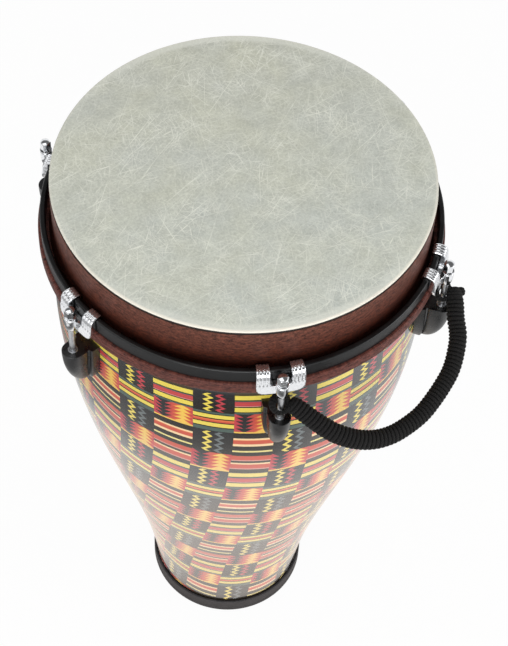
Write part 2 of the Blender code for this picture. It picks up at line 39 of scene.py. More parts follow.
# Studio
FLOOR_HALF = 4.0
FLOOR_WHITE = 1.0
FLOOR_GLOW = 0.95
FLOOR_RINGS = [
    (0.0, 0.3),
    (0.086, 0.5),
    (0.098, 1.0),
    (0.260, 1.0),
    (0.320, 0.84),
    (0.380, 0.48),
    (0.440, 0.27),
    (0.560, 0.07),
    (0.652, 0.04),
    (0.676, 1.0),
    (0.85, 1.0),
    (1.0, 0.35),
]
FLOOR_PALE_RIGHT = (0.08, 0.42, 0.0, 0.7)
FLOOR_PALE_LEFT = (-0.22, -0.55, 0.0, 0.12)
FLOOR_WARM_TO = 0.34
FLOOR_WARMTH = (1.0, 0.93, 0.87, 1.0)
WORLD_LIGHT = 0.62
WORLD_GLOSS = 0.14
WORLD_DIMS = (0.40, 0.66)
LAMPS = {
    "softbox_above": ((-0.6, -0.1, 2.6), 1.8, 12.0),
    "softbox_front": ((-0.7, -2.4, 1.5), 1.8, 38.0),
    "softbox_right": ((2.2, -0.9, 1.3), 1.2, 18.0),
}

# Sizes of the CAD part
HEIGHT = 0.700
FIT = 0.0003
FOOT_RADIUS = 0.085
FOOT_LEAN = 0.05
BELLY_HEIGHT = 0.548
BELLY_RADIUS = 0.180
RIM_RADIUS = 0.1725
SHELL_WALL = 0.006
SHELL_BOTTOM = 0.0033
SHELL_TOP = 0.6989
FOOT_RING_WALL = 0.0026
FOOT_RING_FLOOR = 0.003
FOOT_RING_HEIGHT = 0.020
FOOT_RING_LIP = 0.013
SKIN_THICKNESS = 0.0008
SKIRT_END = 0.692
COLLAR_INNER = 0.1783
COLLAR_OUTER = 0.1801
LEDGE_RADIUS = 0.1749
LEDGE_HEIGHT = 0.0062
FLANGE_TOP = 0.6397
FLANGE_BOTTOM = 0.6264
FLANGE_OUTER = 0.1909
HOOP_INNER = 0.1832
HOOP_OUTER = 0.1884
HOOP_BOTTOM = 0.6400
HOOP_TOP = 0.6560
STATIONS = 6
FIRST_STATION = radians(-90)
ARM_INNER = 0.1888
ARM_OUTER = 0.1944
CLAW_PLATE = 0.0028
CLAW_HALF_WIDTH = 0.0215
CLAW_GAP_HALF = 0.0091
WEB_INNER = 0.1932
WEB_OUTER = 0.1960
WEB_BOTTOM = 0.6325
WEB_TOP = 0.6430
WEB_CORNER = 0.0085
GAP_CORNER = 0.0036
TIP_INNER = 0.1806
TIP_OUTER = 0.1824
TIP_LENGTH = 0.0035
CLAW_TOP = 0.6591
BOLT_CIRCLE = 0.1998
BOSS_BOTTOM = 0.6337
BOSS_TOP = 0.6497
WASHER_BOTTOM = 0.6500
WASHER_TOP = 0.6512
BOLT_BORE = 0.0033
BOLT_SEAT = 0.6515
BOLT_RADIUS = 0.00295
BOLT_END = 0.5760
BOLT_TIP_ROOM = 0.004
LUG_TOP = 0.6000
LUG_LENGTH = 0.052
LUG_REACH = 0.2100
LUG_BASE_HALF_WIDTH = 0.0130
LUG_BASE = 0.0090
NUT_RADIUS = 0.0040
NUT_BOTTOM = 0.5800

# Rope handle, in its own plane: along the line between its two bolts, then away from it
HANDLE_BEARING = radians(30)
HANDLE_DROOP = radians(30)
HANDLE_HEIGHT = 0.61685
HANDLE_SPAN = BOLT_CIRCLE * sin(pi / STATIONS)
ROPE_RADIUS = 0.0085
RIB_PITCH = 0.0039
RIB_DEPTH = 0.0019
ROUTE = [
    (-0.0895, 0.0055),
    (-0.0856, 0.0142),
    (-0.0822, 0.0228),
    (-0.0760, 0.0368),
    (-0.0689, 0.0490),
    (-0.0565, 0.0626),
    (-0.0412, 0.0728),
    (-0.0238, 0.0786),
    (-0.0056, 0.0802),
    (0.0128, 0.0793),
    (0.0299, 0.0752),
    (0.0466, 0.0696),
    (0.0622, 0.0627),
    (0.0759, 0.0527),
    (0.0883, 0.0403),
    (0.0966, 0.0255),
    (0.1030, 0.0160),
    (0.1068, 0.0098),
]
EYE_RADIUS = 0.0062
EYE_CORD = 0.0021
EYE_BACK_REACH = 0.0022
EYE_BACK_CORD = 0.0019
EYE_PITCH = 0.0026
EYE_RIB = 0.0006
NECK_RADIUS = EYE_CORD * 1.4
KNOT_LENGTH = 0.0050
FOLD_RADIUS = 0.0078
FOLD_PITCH = 0.0030
FOLD_RIB = 0.0009
FOLD_LIFT = 0.0065
FOLD_TUCK = 0.002
FOLD_TURN = 0.62
FRONT_FOLD = 0.0045
RIGHT_FOLD = 0.0105

# Detail that the CAD part leaves out, and sizes fitted closer to the photograph
RING_STEPS = 192
SHELL_LEVELS = 72
THREAD_PITCH = 0.001
THREAD_DEPTH = 0.0003
THREAD_TOP = 0.602
THREAD_RUNOUT = 0.002
BOLT_POINT = 0.001
BOLT_POINT_CUT = 0.0006
FLUTES = 3
FLUTE_PITCH = 0.0032
FLUTE_HALF = 0.0011
FLUTE_DEPTH = 0.0006
FLUTE_FOOT = 0.6440
FLUTE_RAMP = 0.0010
ARM_STEP = 0.0012
ARM_EDGE = 0.0016
CLAW_SLICES = 172
CAST_VOXEL = 0.00035
LUG_GROOVE = 0.35
BOLT_CROWN = 0.0022
BOLT_HEAD_EDGE = 0.0006
BOLT_BEVEL = 0.0003
BOLT_HEAD_RADIUS = 0.0051
BOLT_HEAD_HEIGHT = 0.0108
WASHER_RADIUS = 0.0058
NUT_FLANGE_RADIUS = 0.0045
NUT_FLANGE = 0.0005
BOSS_RADIUS = 0.0057
BOSS_FOOT_RADIUS = 0.0044
BOSS_TAPER = 0.006
ROPE_SWELL = 0.10
ROPE_SWELL_AT = 0.22
ROPE_SWELL_REACH = 0.14
ROPE_END = 0.74
ROPE_END_REACH = 0.003
# Height under which the print is painted dark, as the shadow line above the rubber foot
FOOT_SHADOW_LINE = 0.0243
WEB_FLARE = 0.0010
SKIN_RADIUS = 0.1772
SKIN_PALE_BAND = (0.1675, 0.1715)
# Radii over which the painted highlight along the skin's lip comes in
SKIN_EDGE_HIGHLIGHT = (0.1743, 0.1760)
LIP_HEIGHT = 0.0016
LIP_SETBACK = 0.0002
BAND_INNER = 0.1772
BAND_OUTER = 0.1775
BAND_TOP = 0.6957
BAND_FOOT = 0.6500
BAND_SHOULDER = 0.006
LEDGE_SLOPE = 0.0015
FLANGE_LINE = 0.0040
FLANGE_LINE_HALF = 0.0006
FLANGE_LINE_DEPTH = 0.0007
FOOT_LINE = FOOT_RING_HEIGHT * 0.3
FOOT_LINE_HALF = 0.0006
FOOT_LINE_DEPTH = 0.0006
LUG_BODY_HALF_WIDTH = 0.0103

# Printed sheet on the shell: a flat print with straight columns and rows, wrapped round the cone
SHEET_MIDDLE = radians(-71.27)
SHEET_CONE = 0.171
SHEET_APEX = 0.490
SHEET_RISE_FROM = 0.600
SHEET_RISE_TO = 0.500
COLUMN_WIDTH = 0.038
PERIOD_TOP = 0.6145
PERIOD = 0.1509
PERIOD_GROWTH = 0.002
TOP_SQUEEZE = 0.25
TOP_SQUEEZE_FROM = 0.572
TOP_HELD = 0.035
BLOCK_ENDS = (0.26, 0.48, 0.758)
# Painted sheen on the print: heights over which its pale colours are washed towards pinkish white, and
# how much
SHEEN_WASH_HEIGHTS = (0.58, 0.42)
SHEEN_WASH_SHARES = (0.08, 0.40)
WEFTS = 118.0
WARPS = 34.0


def tint(red, green, blue):
    """A colour given as it shows on a screen, 0 to 255, as the light that a shader works in."""
    shares = [value / 255 for value in (red, green, blue)]
    linear = [s / 12.92 if s <= 0.04045 else ((s + 0.055) / 1.055) ** 2.4 for s in shares]
    return (*linear, 1.0)


YELLOW = tint(236, 214, 72)
SUN = tint(244, 198, 66)
ORANGE = tint(228, 112, 56)
RED = tint(206, 78, 52)
CRIMSON = tint(194, 58, 68)
ROSE = tint(214, 150, 140)
CREAM = tint(252, 218, 162)
LEMON = tint(240, 226, 130)
CHARCOAL = tint(34, 34, 36)
SLATE = tint(100, 110, 112)
TEAL = tint(70, 92, 84)
OLIVE = tint(58, 46, 14)
SOOT = tint(30, 21, 6)
# Pinkish white that the painted sheen washes the pale print colours towards
SHEEN_WASH = tint(232, 204, 188)

# Bands across the striped blocks, each with the share of the block at which it begins
WIDE_STRIPES = [
    (0.0, OLIVE),
    (0.05, YELLOW),
    (0.26, SOOT),
    (0.30, TEAL),
    (0.35, CRIMSON),
    (0.44, RED),
    (0.48, CRIMSON),
    (0.57, ROSE),
    (0.605, SOOT),
    (0.66, YELLOW),
    (0.88, SOOT),
    (0.92, TEAL),
]
BRIGHT_STRIPES = [
    (0.0, TEAL),
    (0.11, SOOT),
    (0.15, YELLOW),
    (0.33, SOOT),
    (0.385, ORANGE),
    (0.45, RED),
    (0.53, SOOT),
    (0.58, YELLOW),
    (0.77, SOOT),
    (0.82, TEAL),
]
DARK_STRIPES = [
    (0.0, SOOT),
    (0.2, OLIVE),
    (0.225, CREAM),
    (0.295, ORANGE),
    (0.33, RED),
    (0.48, CREAM),
    (0.575, OLIVE),
    (0.61, SOOT),
    (0.765, OLIVE),
    (0.785, LEMON),
    (0.855, OLIVE),
    (0.89, SOOT),
]
SOFT_STRIPES = [
    (0.0, OLIVE),
    (0.04, RED),
    (0.27, ROSE),
    (0.32, OLIVE),
    (0.43, CREAM),
    (0.51, RED),
    (0.75, ROSE),
    (0.8, OLIVE),
    (0.92, SOOT),
]


class Wire:
    """A number on its way through a node tree, so that a pattern reads as arithmetic."""

    def __init__(self, tree, socket):
        self.tree = tree
        self.socket = socket

    def to(self, operation, *others):
        node = self.tree.nodes.new("ShaderNodeMath")
        node.operation = operation
        for entry, value in zip(node.inputs, (self, *others)):
            feed(self.tree, entry, value)
        return Wire(self.tree, node.outputs[0])

    def __add__(self, other):
        return self.to("ADD", other)

    def __sub__(self, other):
        return self.to("SUBTRACT", other)

    def __mul__(self, other):
        return self.to("MULTIPLY", other)

    def __truediv__(self, other):
        return self.to("DIVIDE", other)

    def over(self, limit):
        return self.to("GREATER_THAN", limit)

    def under(self, limit):
        return self.to("LESS_THAN", limit)

    def size(self):
        return self.to("ABSOLUTE")

    def part(self):
        return self.to("FRACT")

    def zigzag(self, turns):
        """Goes up and down between 0 and 1, this many times as the number goes from 0 to 1."""
        return ((self * turns).part() * 2 - 1).size()


def feed(tree, entry, value):
    """Links a wire to an entry, or sets a plain value on it."""
    if isinstance(value, Wire):
        tree.links.new(value.socket, entry)
    else:
        entry.default_value = value


class Nodes:
    """A node tree, with short calls for the nodes that the looks are made of."""

    def __init__(self, tree):
        self.tree = tree

    def node(self, kind, **entries):
        made = self.tree.nodes.new("ShaderNode" + kind)
        for entry, value in entries.items():
            feed(self.tree, made.inputs[entry], value)
        return made

    def wire(self, node, output):
        return Wire(self.tree, node.outputs[output])

    def place(self):
        """The point on the piece, in its own frame."""
        return self.wire(self.node("TexCoord"), "Object")

    def split(self, vector):
        node = self.node("SeparateXYZ", Vector=vector)
        return [self.wire(node, axis) for axis in "XYZ"]

    def join(self, x, y, z):
        return self.wire(self.node("CombineXYZ", X=x, Y=y, Z=z), "Vector")

    def turned(self, vector, angle, scale):
        node = self.node("Mapping", Vector=vector, Rotation=(0, 0, angle), Scale=scale)
        return self.wire(node, "Vector")

    def stretched(self, vector, start, angle, length, width):
        """The point from a start, along and across a direction, in steps of this length and width."""
        node = self.node(
            "Mapping",
            Vector=vector,
            Location=(start, start, 0),
            Rotation=(0, 0, angle),
            Scale=(length, width, 1),
        )
        node.vector_type = "TEXTURE"
        return self.wire(node, "Vector")

    def noise(self, vector, scale, detail=3.0, roughness=0.55, distortion=0.0):
        node = self.node(
            "TexNoise",
            Vector=vector,
            Scale=scale,
            Detail=detail,
            Roughness=roughness,
            Distortion=distortion,
        )
        return self.wire(node, 0)

    def range(self, value, low, high, start=0.0, end=1.0):
        node = self.node("MapRange")
        for entry, given in zip(node.inputs, (value, low, high, start, end)):
            feed(self.tree, entry, given)
        return self.wire(node, 0)

    def ramp(self, value, stops, sharp=False):
        node = self.node("ValToRGB", Fac=value)
        node.color_ramp.interpolation = "CONSTANT" if sharp else "LINEAR"
        elements = node.color_ramp.elements
        while len(elements) < len(stops):
            elements.new(1.0)
        for element, (position, colour) in zip(elements, stops):
            element.position = position
            element.color = colour
        return self.wire(node, "Color")

    def mix(self, share, first, second, blend="MIX"):
        node = self.node("Mix")
        node.data_type = "RGBA"
        node.blend_type = blend
        feed(self.tree, node.inputs[0], share)
        feed(self.tree, node.inputs[6], first)
        feed(self.tree, node.inputs[7], second)
        return self.wire(node, 2)

    def shaded(self, colour, red, green, blue):
        return self.mix(1.0, colour, self.join(red, green, blue), "MULTIPLY")

    def choose(self, share, first, second):
        """The first number where share is 0, the second where it is 1."""
        node = self.node("Mix", A=first, B=second)
        feed(self.tree, node.inputs[0], share)
        return self.wire(node, 0)


class Recipe(Nodes):
    """A new material, and short calls for what its Principled shader is fed."""

    def __init__(self, name, **settings):
        self.material = bpy.data.materials.new(name)
        self.material.use_nodes = True
        super().__init__(self.material.node_tree)
        self.surface = self.tree.nodes["Principled BSDF"]
        for entry, value in settings.items():
            self.surface.inputs[entry.replace("_", " ")].default_value = value

    def rough(self, value, start, end):
        """Roughness that goes from start to end over the middle of a noise."""
        self.set("Roughness", self.range(value, 0.3, 0.7, start, end))

    def bump(self, height, distance, strength):
        node = self.node("Bump", Height=height, Distance=distance, Strength=strength)
        self.set("Normal", self.wire(node, "Normal"))

    def set(self, entry, value):
        feed(self.tree, self.surface.inputs[entry], value)


def sheet_place(recipe):
    """Where a point of the shell lies on the flat print: along its columns and down its rows."""
    x, y, z = recipe.split(recipe.turned(recipe.place(), -SHEET_MIDDLE, (1, 1, 1)))
    radius = (x * x + y * y).to("SQRT")
    lean = y.to("ARCTAN2", x) * SHEET_CONE
    across = radius * lean.to("SINE") / SHEET_CONE
    rise = (z + SHEET_APEX) * (lean.to("COSINE") * -1 + 1)
    straight = z - rise * recipe.range(z, SHEET_RISE_FROM, SHEET_RISE_TO)
    eased = straight + (straight - TOP_SQUEEZE_FROM).to("MAXIMUM", 0.0) * TOP_SQUEEZE
    below = eased * -4 * PERIOD_GROWTH + (PERIOD**2 + 4 * PERIOD_GROWTH * PERIOD_TOP)
    down = (below.to("SQRT") - PERIOD) / (2 * PERIOD_GROWTH)
    held = down.to("MAXIMUM", 0.0) + (down + TOP_HELD).to("MINIMUM", 0.0)
    return across / COLUMN_WIDTH + 0.5, held


def zigzag_block(recipe, u, v, second):
    """Two upright zigzags on charcoal, at shares u and v of the block, the second in its own colour."""
    swing = (v.zigzag(4) - 0.5) * 0.155
    inside = v.over(0.04) * v.under(0.965)
    first_line = (u - swing - 0.362).size().under(0.056) * inside
    second_line = (u - swing - 0.662).size().under(0.054) * inside
    ground = recipe.mix(v, CHARCOAL, SOOT)
    return recipe.mix(second_line, recipe.mix(first_line, ground, YELLOW), second)


def spike_block(recipe, u, v):
    """Two rows of stacked spikes on red: dark ones that point down and yellow ones that point up."""
    tooth = (v * 5.4).part()
    ground = recipe.ramp(u, [(0.0, CRIMSON), (0.3, CRIMSON), (0.55, RED), (0.9, RED), (1.0, CRIMSON)])
    dark = ((u - 0.25).size() + tooth * 0.19).under(0.22)
    outer = ((u - 0.74).size() - tooth * 0.21).under(0.05)
    inner = ((u - 0.74).size() - tooth * 0.19).under(0.015)
    colour = recipe.mix(dark, ground, CHARCOAL)
    colour = recipe.mix(outer, colour, ORANGE)
    colour = recipe.mix(inner, colour, SUN)
    return recipe.mix(v.over(0.93), colour, SUN)


def washed_by_sheen(recipe, colour):
    """The print with a painted sheen that washes its pale colours towards pinkish white, more so towards
    the foot, and a painted shadow line along its lower edge.
    """
    z = recipe.split(recipe.place())[2]
    pale = recipe.split(colour)[1]
    # Painted sheen: the pale colours washed towards pinkish white, more so lower down
    share = pale * recipe.range(z, *SHEEN_WASH_HEIGHTS, *SHEEN_WASH_SHARES)
    # Painted shadow: the print goes dark below the line just above the rubber foot
    return recipe.mix(z.under(FOOT_SHADOW_LINE), recipe.mix(share, colour, SHEEN_WASH), SOOT)


def print_material():
    """Lacquered print: two kinds of column side by side, each a run of four blocks."""
    recipe = Recipe(
        "printed_lacquer", Specular_IOR_Level=0.15, Coat_Weight=1.0, Coat_Roughness=0.04, Coat_IOR=2.15
    )
    along, down = sheet_place(recipe)
    column = along.to("FLOOR")
    u = along - column
    kind = column.to("FLOORED_MODULO", 2.0)
    share = down.part()
    first, second, third = (share.over(end) for end in BLOCK_ENDS)
    starts = (0.0, *BLOCK_ENDS)
    ends = (*BLOCK_ENDS, 1.0)
    blocks = [(share - a) / (b - a) for a, b in zip(starts, ends)]
    zigzag = zigzag_block(
        recipe, u, recipe.choose(second, blocks[0], blocks[2]), recipe.mix(second, CRIMSON, SLATE)
    )
    spikes = spike_block(recipe, u, recipe.choose(kind, blocks[1], blocks[3]))
    plain = recipe.mix(first, recipe.ramp(blocks[0], WIDE_STRIPES, sharp=True), spikes)
    plain = recipe.mix(second, plain, recipe.ramp(blocks[2], DARK_STRIPES, sharp=True))
    plain = recipe.mix(third, plain, recipe.ramp(blocks[3], SOFT_STRIPES, sharp=True))
    figured = recipe.mix(first, zigzag, recipe.ramp(blocks[1], BRIGHT_STRIPES, sharp=True))
    figured = recipe.mix(second, figured, zigzag)
    figured = recipe.mix(third, figured, spikes)
    colour = washed_by_sheen(recipe, recipe.mix(kind, plain, figured))
    weft = (down * WEFTS).zigzag(1)
    warp = (along * WARPS).zigzag(1)
    cloth = recipe.noise(recipe.join(along * 40.0, down * 160.0, 0.0), 1.0, 2.0)
    shade = recipe.range(weft * 0.5 + warp * 0.2 + cloth, 0.4, 1.3, 0.82, 1.10)
    recipe.set("Base Color", recipe.shaded(colour, shade, shade, shade))
    recipe.rough(cloth, 0.38, 0.52)
    ripple = recipe.noise(recipe.place(), 22.0, 2.0)
    recipe.bump(ripple, 0.0006, 0.25)
    return recipe.material


def wood_material():
    """Bare inside of the shell: upright grain."""
    recipe = Recipe("bare_wood")
    place = recipe.place()
    grain = recipe.noise(recipe.turned(place, 0.0, (60, 60, 3)), 4.0, 6.0, 0.6, 0.8)
    colour = recipe.ramp(
        grain, [(0.3, tint(128, 88, 54)), (0.5, tint(166, 122, 80)), (0.7, tint(190, 150, 104))]
    )
    recipe.set("Base Color", colour)
    recipe.rough(grain, 0.7, 0.5)
    recipe.bump(grain, 0.0004, 0.5)
    return recipe.material


def fibres(recipe, vector, length, width, ways, start, end):
    """Thin straight marks that lie in this many directions, 1 where a mark is."""
    found = None
    for i in range(ways):
        place = recipe.stretched(vector, 0.7 * i + 0.4, pi * i / ways + 0.2, length, width)
        mark = recipe.range(recipe.noise(place, 1.0 + 0.07 * i, 1.0), start, end)
        found = mark if found is None else found.to("MAXIMUM", mark)
    return found


def skin_material():
    """Cream skin with pale and dark fibres that lie every way, in greyer and yellower patches."""
    recipe = Recipe("cream_skin", Specular_IOR_Level=0.3)
    place = recipe.place()
    x, y, _ = recipe.split(place)
    drift = recipe.noise(place, 7.0, 2.0)
    warped = recipe.join(x + drift * 0.008, y - drift * 0.006, 0.0)
    fine = fibres(recipe, warped, 0.030, 0.0019, 9, 0.63, 0.76)
    dark = fibres(recipe, warped, 0.018, 0.0021, 7, 0.37, 0.26)
    long = fibres(recipe, warped, 0.150, 0.0014, 13, 0.67, 0.75)
    patch = recipe.noise(place, 13.0, 3.0, 0.6)
    speck = recipe.noise(place, 420.0, 3.0, 0.7)
    cloud = recipe.noise(place, 60.0, 3.0, 0.6)
    greyer = recipe.mix(recipe.range(y, 0.16, -0.17), tint(184, 186, 176), tint(187, 192, 185))
    yellower = recipe.mix(recipe.range(y, 0.16, -0.17), tint(189, 190, 174), tint(192, 195, 182))
    colour = recipe.mix(recipe.range(patch, 0.38, 0.62), greyer, yellower)
    shade = recipe.range(speck + cloud * 0.6, 0.55, 1.05, 0.745, 1.11)
    colour = recipe.shaded(colour, shade, shade, shade)
    colour = recipe.mix(dark * 0.35, colour, tint(160, 163, 153))
    tuft = recipe.range(recipe.noise(place, 24.0, 2.0), 0.35, 0.65, 0.35, 1.0)
    colour = recipe.mix(fine * tuft * 0.85, colour, tint(215, 216, 205))
    colour = recipe.mix(long * tuft * 0.75, colour, tint(224, 225, 214))
    edge = (x * x + y * y).to("SQRT")
    ends = recipe.range(y.size(), 0.10, 0.165, 0.1, 0.6)
    colour = recipe.mix(recipe.range(edge, *SKIN_PALE_BAND) * ends, colour, tint(212, 213, 203))
    # Painted highlight: a pale line along the skin's lip, strong at the front and faint at the back
    front = recipe.range(y, 0.02, -0.12, 0.1, 0.85)
    colour = recipe.mix(recipe.range(edge, *SKIN_EDGE_HIGHLIGHT) * front, colour, tint(234, 228, 214))
    recipe.set("Base Color", colour)
    recipe.rough(speck, 0.44, 0.58)
    recipe.bump(speck + fine * 0.4 + long, 0.0002, 0.5)
    return recipe.material


def collar_material():
    """Dark brown band with a speckled grain that runs round it, and painted shade that darkens it down
    towards the hoop.
    """
    recipe = Recipe("brown_collar", Specular_IOR_Level=0.2)
    x, y, z = recipe.split(recipe.place())
    angle = y.to("ARCTAN2", x)
    grain = recipe.noise(recipe.join(angle * 24.0, z * 330.0, 0.0), 1.0, 4.0, 0.65)
    pores = recipe.noise(recipe.join(angle * 80.0, z * 560.0, 5.0), 1.0, 3.0, 0.7)
    # Painted shade: the band's colour darkens from its top down to the hoop, where the hoop shades it.
    height = recipe.range(z, HOOP_TOP, BAND_TOP)
    stops = [(0.0, tint(40, 13, 6)), (0.35, tint(76, 37, 25)), (1.0, tint(96, 56, 44))]
    colour = recipe.ramp(height, stops)
    colour = recipe.mix(recipe.range(z, HOOP_BOTTOM, HOOP_BOTTOM - 0.0003), colour, tint(90, 51, 44))
    shade = recipe.range(grain + pores, 0.78, 1.22, 0.28, 1.70)
    colour = recipe.shaded(colour, shade, shade * 0.96 + 0.04, shade * 0.9 + 0.1)
    recipe.set("Base Color", colour)
    recipe.rough(grain, 0.58, 0.44)
    recipe.bump(grain + pores, 0.0003, 0.5)
    return recipe.material


def mottled(name, mottle, stops, roughness, relief, grain=None, **settings):
    """A material whose colour and roughness drift with one noise, over a slight relief.

    mottle is the noise's scale, detail and roughness. relief is a height and a strength, and it follows
    the same noise, or one of the scale that grain gives.
    """
    recipe = Recipe(name, **settings)
    drift = recipe.noise(recipe.place(), *mottle)
    recipe.set("Base Color", recipe.ramp(drift, stops))
    recipe.rough(drift, *roughness)
    uneven = recipe.noise(recipe.place(), grain, 2.0) if grain else drift
    recipe.bump(uneven, *relief)
    return recipe.material


def shaded_skirt_material():
    """Painted shade: a dark, finely mottled strip on the skin's skirt in the groove under its lip, where
    the groove lies in shade.
    """
    stops = [(0.3, tint(24, 14, 10)), (0.7, tint(44, 30, 24))]
    return mottled("painted_shade_skirt", (700.0, 4.0, 0.65), stops, (0.7, 0.9), (0.0002, 0.5))


def hoop_material():
    """Black paint on steel, with orange peel."""
    stops = [(0.35, tint(4, 5, 6)), (0.7, tint(12, 13, 14))]
    return mottled("black_paint", (60.0, 4.0, 0.65), stops, (0.26, 0.4), (0.0001, 0.4), 900.0)


def chrome_material(name, smoothest, roughest):
    """Bright plating over a slightly uneven casting."""
    stops = [(0.3, tint(226, 228, 231)), (0.7, tint(243, 244, 246))]
    rough = (smoothest, roughest)
    return mottled(name, (420.0, 4.0, 0.6), stops, rough, (0.0005, 0.25), 130.0, Metallic=1.0)


def plastic_material():
    """Black moulded plastic with a fine grain."""
    stops = [(0.3, tint(4, 4, 5)), (0.7, tint(12, 12, 13))]
    rough = (0.24, 0.36)
    return mottled("black_plastic", (140.0, 4.0, 0.6), stops, rough, (0.00008, 0.5), 1500.0, IOR=1.75)


def steel_material():
    """Zinc-plated steel with a faint bluish mottle."""
    stops = [(0.3, tint(150, 152, 158)), (0.7, tint(196, 198, 200))]
    return mottled("zinc_steel", (260.0, 4.0, 0.65), stops, (0.28, 0.48), (0.0001, 0.4), Metallic=1.0)


def rubber_material():
    """Dark grey rubber, a little dusty."""
    stops = [(0.35, tint(34, 32, 34)), (0.7, tint(58, 55, 57))]
    return mottled("foot_rubber", (90.0, 5.0, 0.65), stops, (0.55, 0.72), (0.0001, 0.5), 1100.0)


def rope_material():
    """Black braided cord: slanting strands along each turn, with stray fibres, and painted shade in the
    troughs between turns.
    """
    recipe = Recipe("black_cord", Specular_IOR_Level=0.2, Sheen_Weight=0.03)
    coordinates = recipe.wire(recipe.node("TexCoord"), "UV")
    turn, along, _ = recipe.split(coordinates)
    strand = (along * 26.0 + turn * 2.0).zigzag(1) * (along * 26.0 - turn * 2.0).zigzag(1)
    fibre = recipe.noise(recipe.join(turn * 14.0, along * 160.0, 0.0), 1.0, 3.0, 0.6)
    colour = recipe.ramp(
        strand + fibre * 0.6, [(0.25, tint(8, 8, 8)), (0.6, tint(19, 18, 18)), (0.95, tint(38, 36, 35))]
    )
    # Painted shade: the troughs between the wound turns darkened to near black
    trough_shade = (turn.part() * 2 - 1).size()
    colour = recipe.mix(recipe.range(trough_shade, 0.45, 0.9), colour, tint(1, 1, 1))
    recipe.set("Base Color", colour)
    recipe.rough(fibre, 0.68, 0.88)
    recipe.bump(strand + fibre, 0.0004, 0.6)
    return recipe.material


def light_path(recipe, names):
    """1 for the rays named, 0 for the rest."""
    node = recipe.node("LightPath")
    total = recipe.wire(node, names[0])
    for name in names[1:]:
        total = total.to("MAXIMUM", recipe.wire(node, name))
    return total


def grey(level):
    return (level, level, level, 1.0)


def floor_material():
    """Pale floor that shows white, with a faint shadow and a dim ring round the drum in reflections."""
    recipe = Recipe("pale_floor", Roughness=0.9)
    grain = recipe.noise(recipe.place(), 40.0, 3.0)
    recipe.set("Base Color", recipe.ramp(grain, [(0.3, tint(228, 228, 228)), (0.7, tint(236, 236, 236))]))
    x, y, _ = recipe.split(recipe.place())
    distance = (x * x + y * y).to("SQRT")
    rings = recipe.ramp(distance, [(place, grey(level)) for place, level in FLOOR_RINGS])
    aside = recipe.range(x, *FLOOR_PALE_RIGHT) + recipe.range(x, *FLOOR_PALE_LEFT)
    rings = recipe.mix(aside, rings, grey(1.0))
    warm = recipe.mix(recipe.range(distance, FLOOR_WARM_TO, FLOOR_WARM_TO / 2), grey(1.0), FLOOR_WARMTH)
    rings = recipe.mix(1.0, rings, warm, "MULTIPLY")
    mirrored = light_path(recipe, ["Is Glossy Ray", "Is Transmission Ray"])
    glow = recipe.node("Emission", Color=recipe.mix(mirrored, grey(FLOOR_WHITE), rings))
    shown = light_path(recipe, ["Is Camera Ray", "Is Glossy Ray", "Is Transmission Ray"])
    blend = recipe.node("MixShader", Fac=shown * FLOOR_GLOW)
    recipe.tree.links.new(recipe.surface.outputs[0], blend.inputs[1])
    recipe.tree.links.new(glow.outputs[0], blend.inputs[2])
    recipe.tree.links.new(blend.outputs[0], recipe.tree.nodes["Material Output"].inputs["Surface"])
    return recipe.material


def linked(name, data):
    """A new object in the scene."""
    made = bpy.data.objects.new(name, data)
    bpy.context.scene.collection.objects.link(made)
    return made


def make_camera():
    data = bpy.data.cameras.new("photo_camera")
    data.lens = CAMERA_LENS
    data.sensor_width = CAMERA_SENSOR
    camera = linked("photo_camera", data)
    flat = cos(CAMERA_PITCH)
    forward = Vector((sin(CAMERA_YAW) * flat, cos(CAMERA_YAW) * flat, sin(CAMERA_PITCH)))
    right = Vector((cos(CAMERA_YAW), -sin(CAMERA_YAW), 0))
    up = right.cross(forward)
    tilted = right * cos(CAMERA_ROLL) + up * sin(CAMERA_ROLL)
    upright = up * cos(CAMERA_ROLL) - right * sin(CAMERA_ROLL)
    turn = Matrix((tilted, upright, -forward)).transposed().to_4x4()
    camera.matrix_world = Matrix.Translation(CAMERA_PLACE) @ turn
    bpy.context.scene.camera = camera


def make_world():
    """Even soft light: white where the camera looks past the floor; in reflections dim overhead."""
    world = bpy.data.worlds.new("studio")
    world.use_nodes = True
    bpy.context.scene.world = world
    nodes = Nodes(world.node_tree)
    path = nodes.node("LightPath")
    up = nodes.split(nodes.wire(nodes.node("TexCoord"), "Generated"))[2]
    mirrored = nodes.range(up, *WORLD_DIMS, 1.0, WORLD_GLOSS) - WORLD_LIGHT
    seen = nodes.wire(path, "Is Camera Ray") * (1 - WORLD_LIGHT)
    strength = seen + nodes.wire(path, "Is Glossy Ray") * mirrored + WORLD_LIGHT
    ground = nodes.tree.nodes["Background"]
    ground.inputs["Color"].default_value = grey(1.0)
    feed(nodes.tree, ground.inputs["Strength"], strength)


def make_lamp(name, place, size, energy):
    """A square softbox aimed at the middle of the drum."""
    data = bpy.data.lights.new(name, "AREA")
    data.size = size
    data.energy = energy
    lamp = linked(name, data)
    lamp.location = place
    aim = Vector((0, 0, HEIGHT / 2)) - lamp.location
    lamp.rotation_euler = aim.to_track_quat("-Z", "Y").to_euler()


def make_stage():
    bm = bmesh.new()
    corners = [(-1, -1), (1, -1), (1, 1), (-1, 1)]
    bm.faces.new([bm.verts.new((x * FLOOR_HALF, y * FLOOR_HALF, 0)) for x, y in corners])
    floor = place_object("studio_floor", mesh_of(bm), floor_material())
    for name, (place, size, energy) in LAMPS.items():
        make_lamp(name, place, size, energy)


def mesh_of(bm):
    bmesh.ops.recalc_face_normals(bm, faces=bm.faces)
    mesh = bpy.data.meshes.new("mesh")
    bm.to_mesh(mesh)
    bm.free()
    return mesh


def place_object(name, data, *materials):
    data.materials.clear()
    for material in materials:
        data.materials.append(material)
    return linked(name, data)


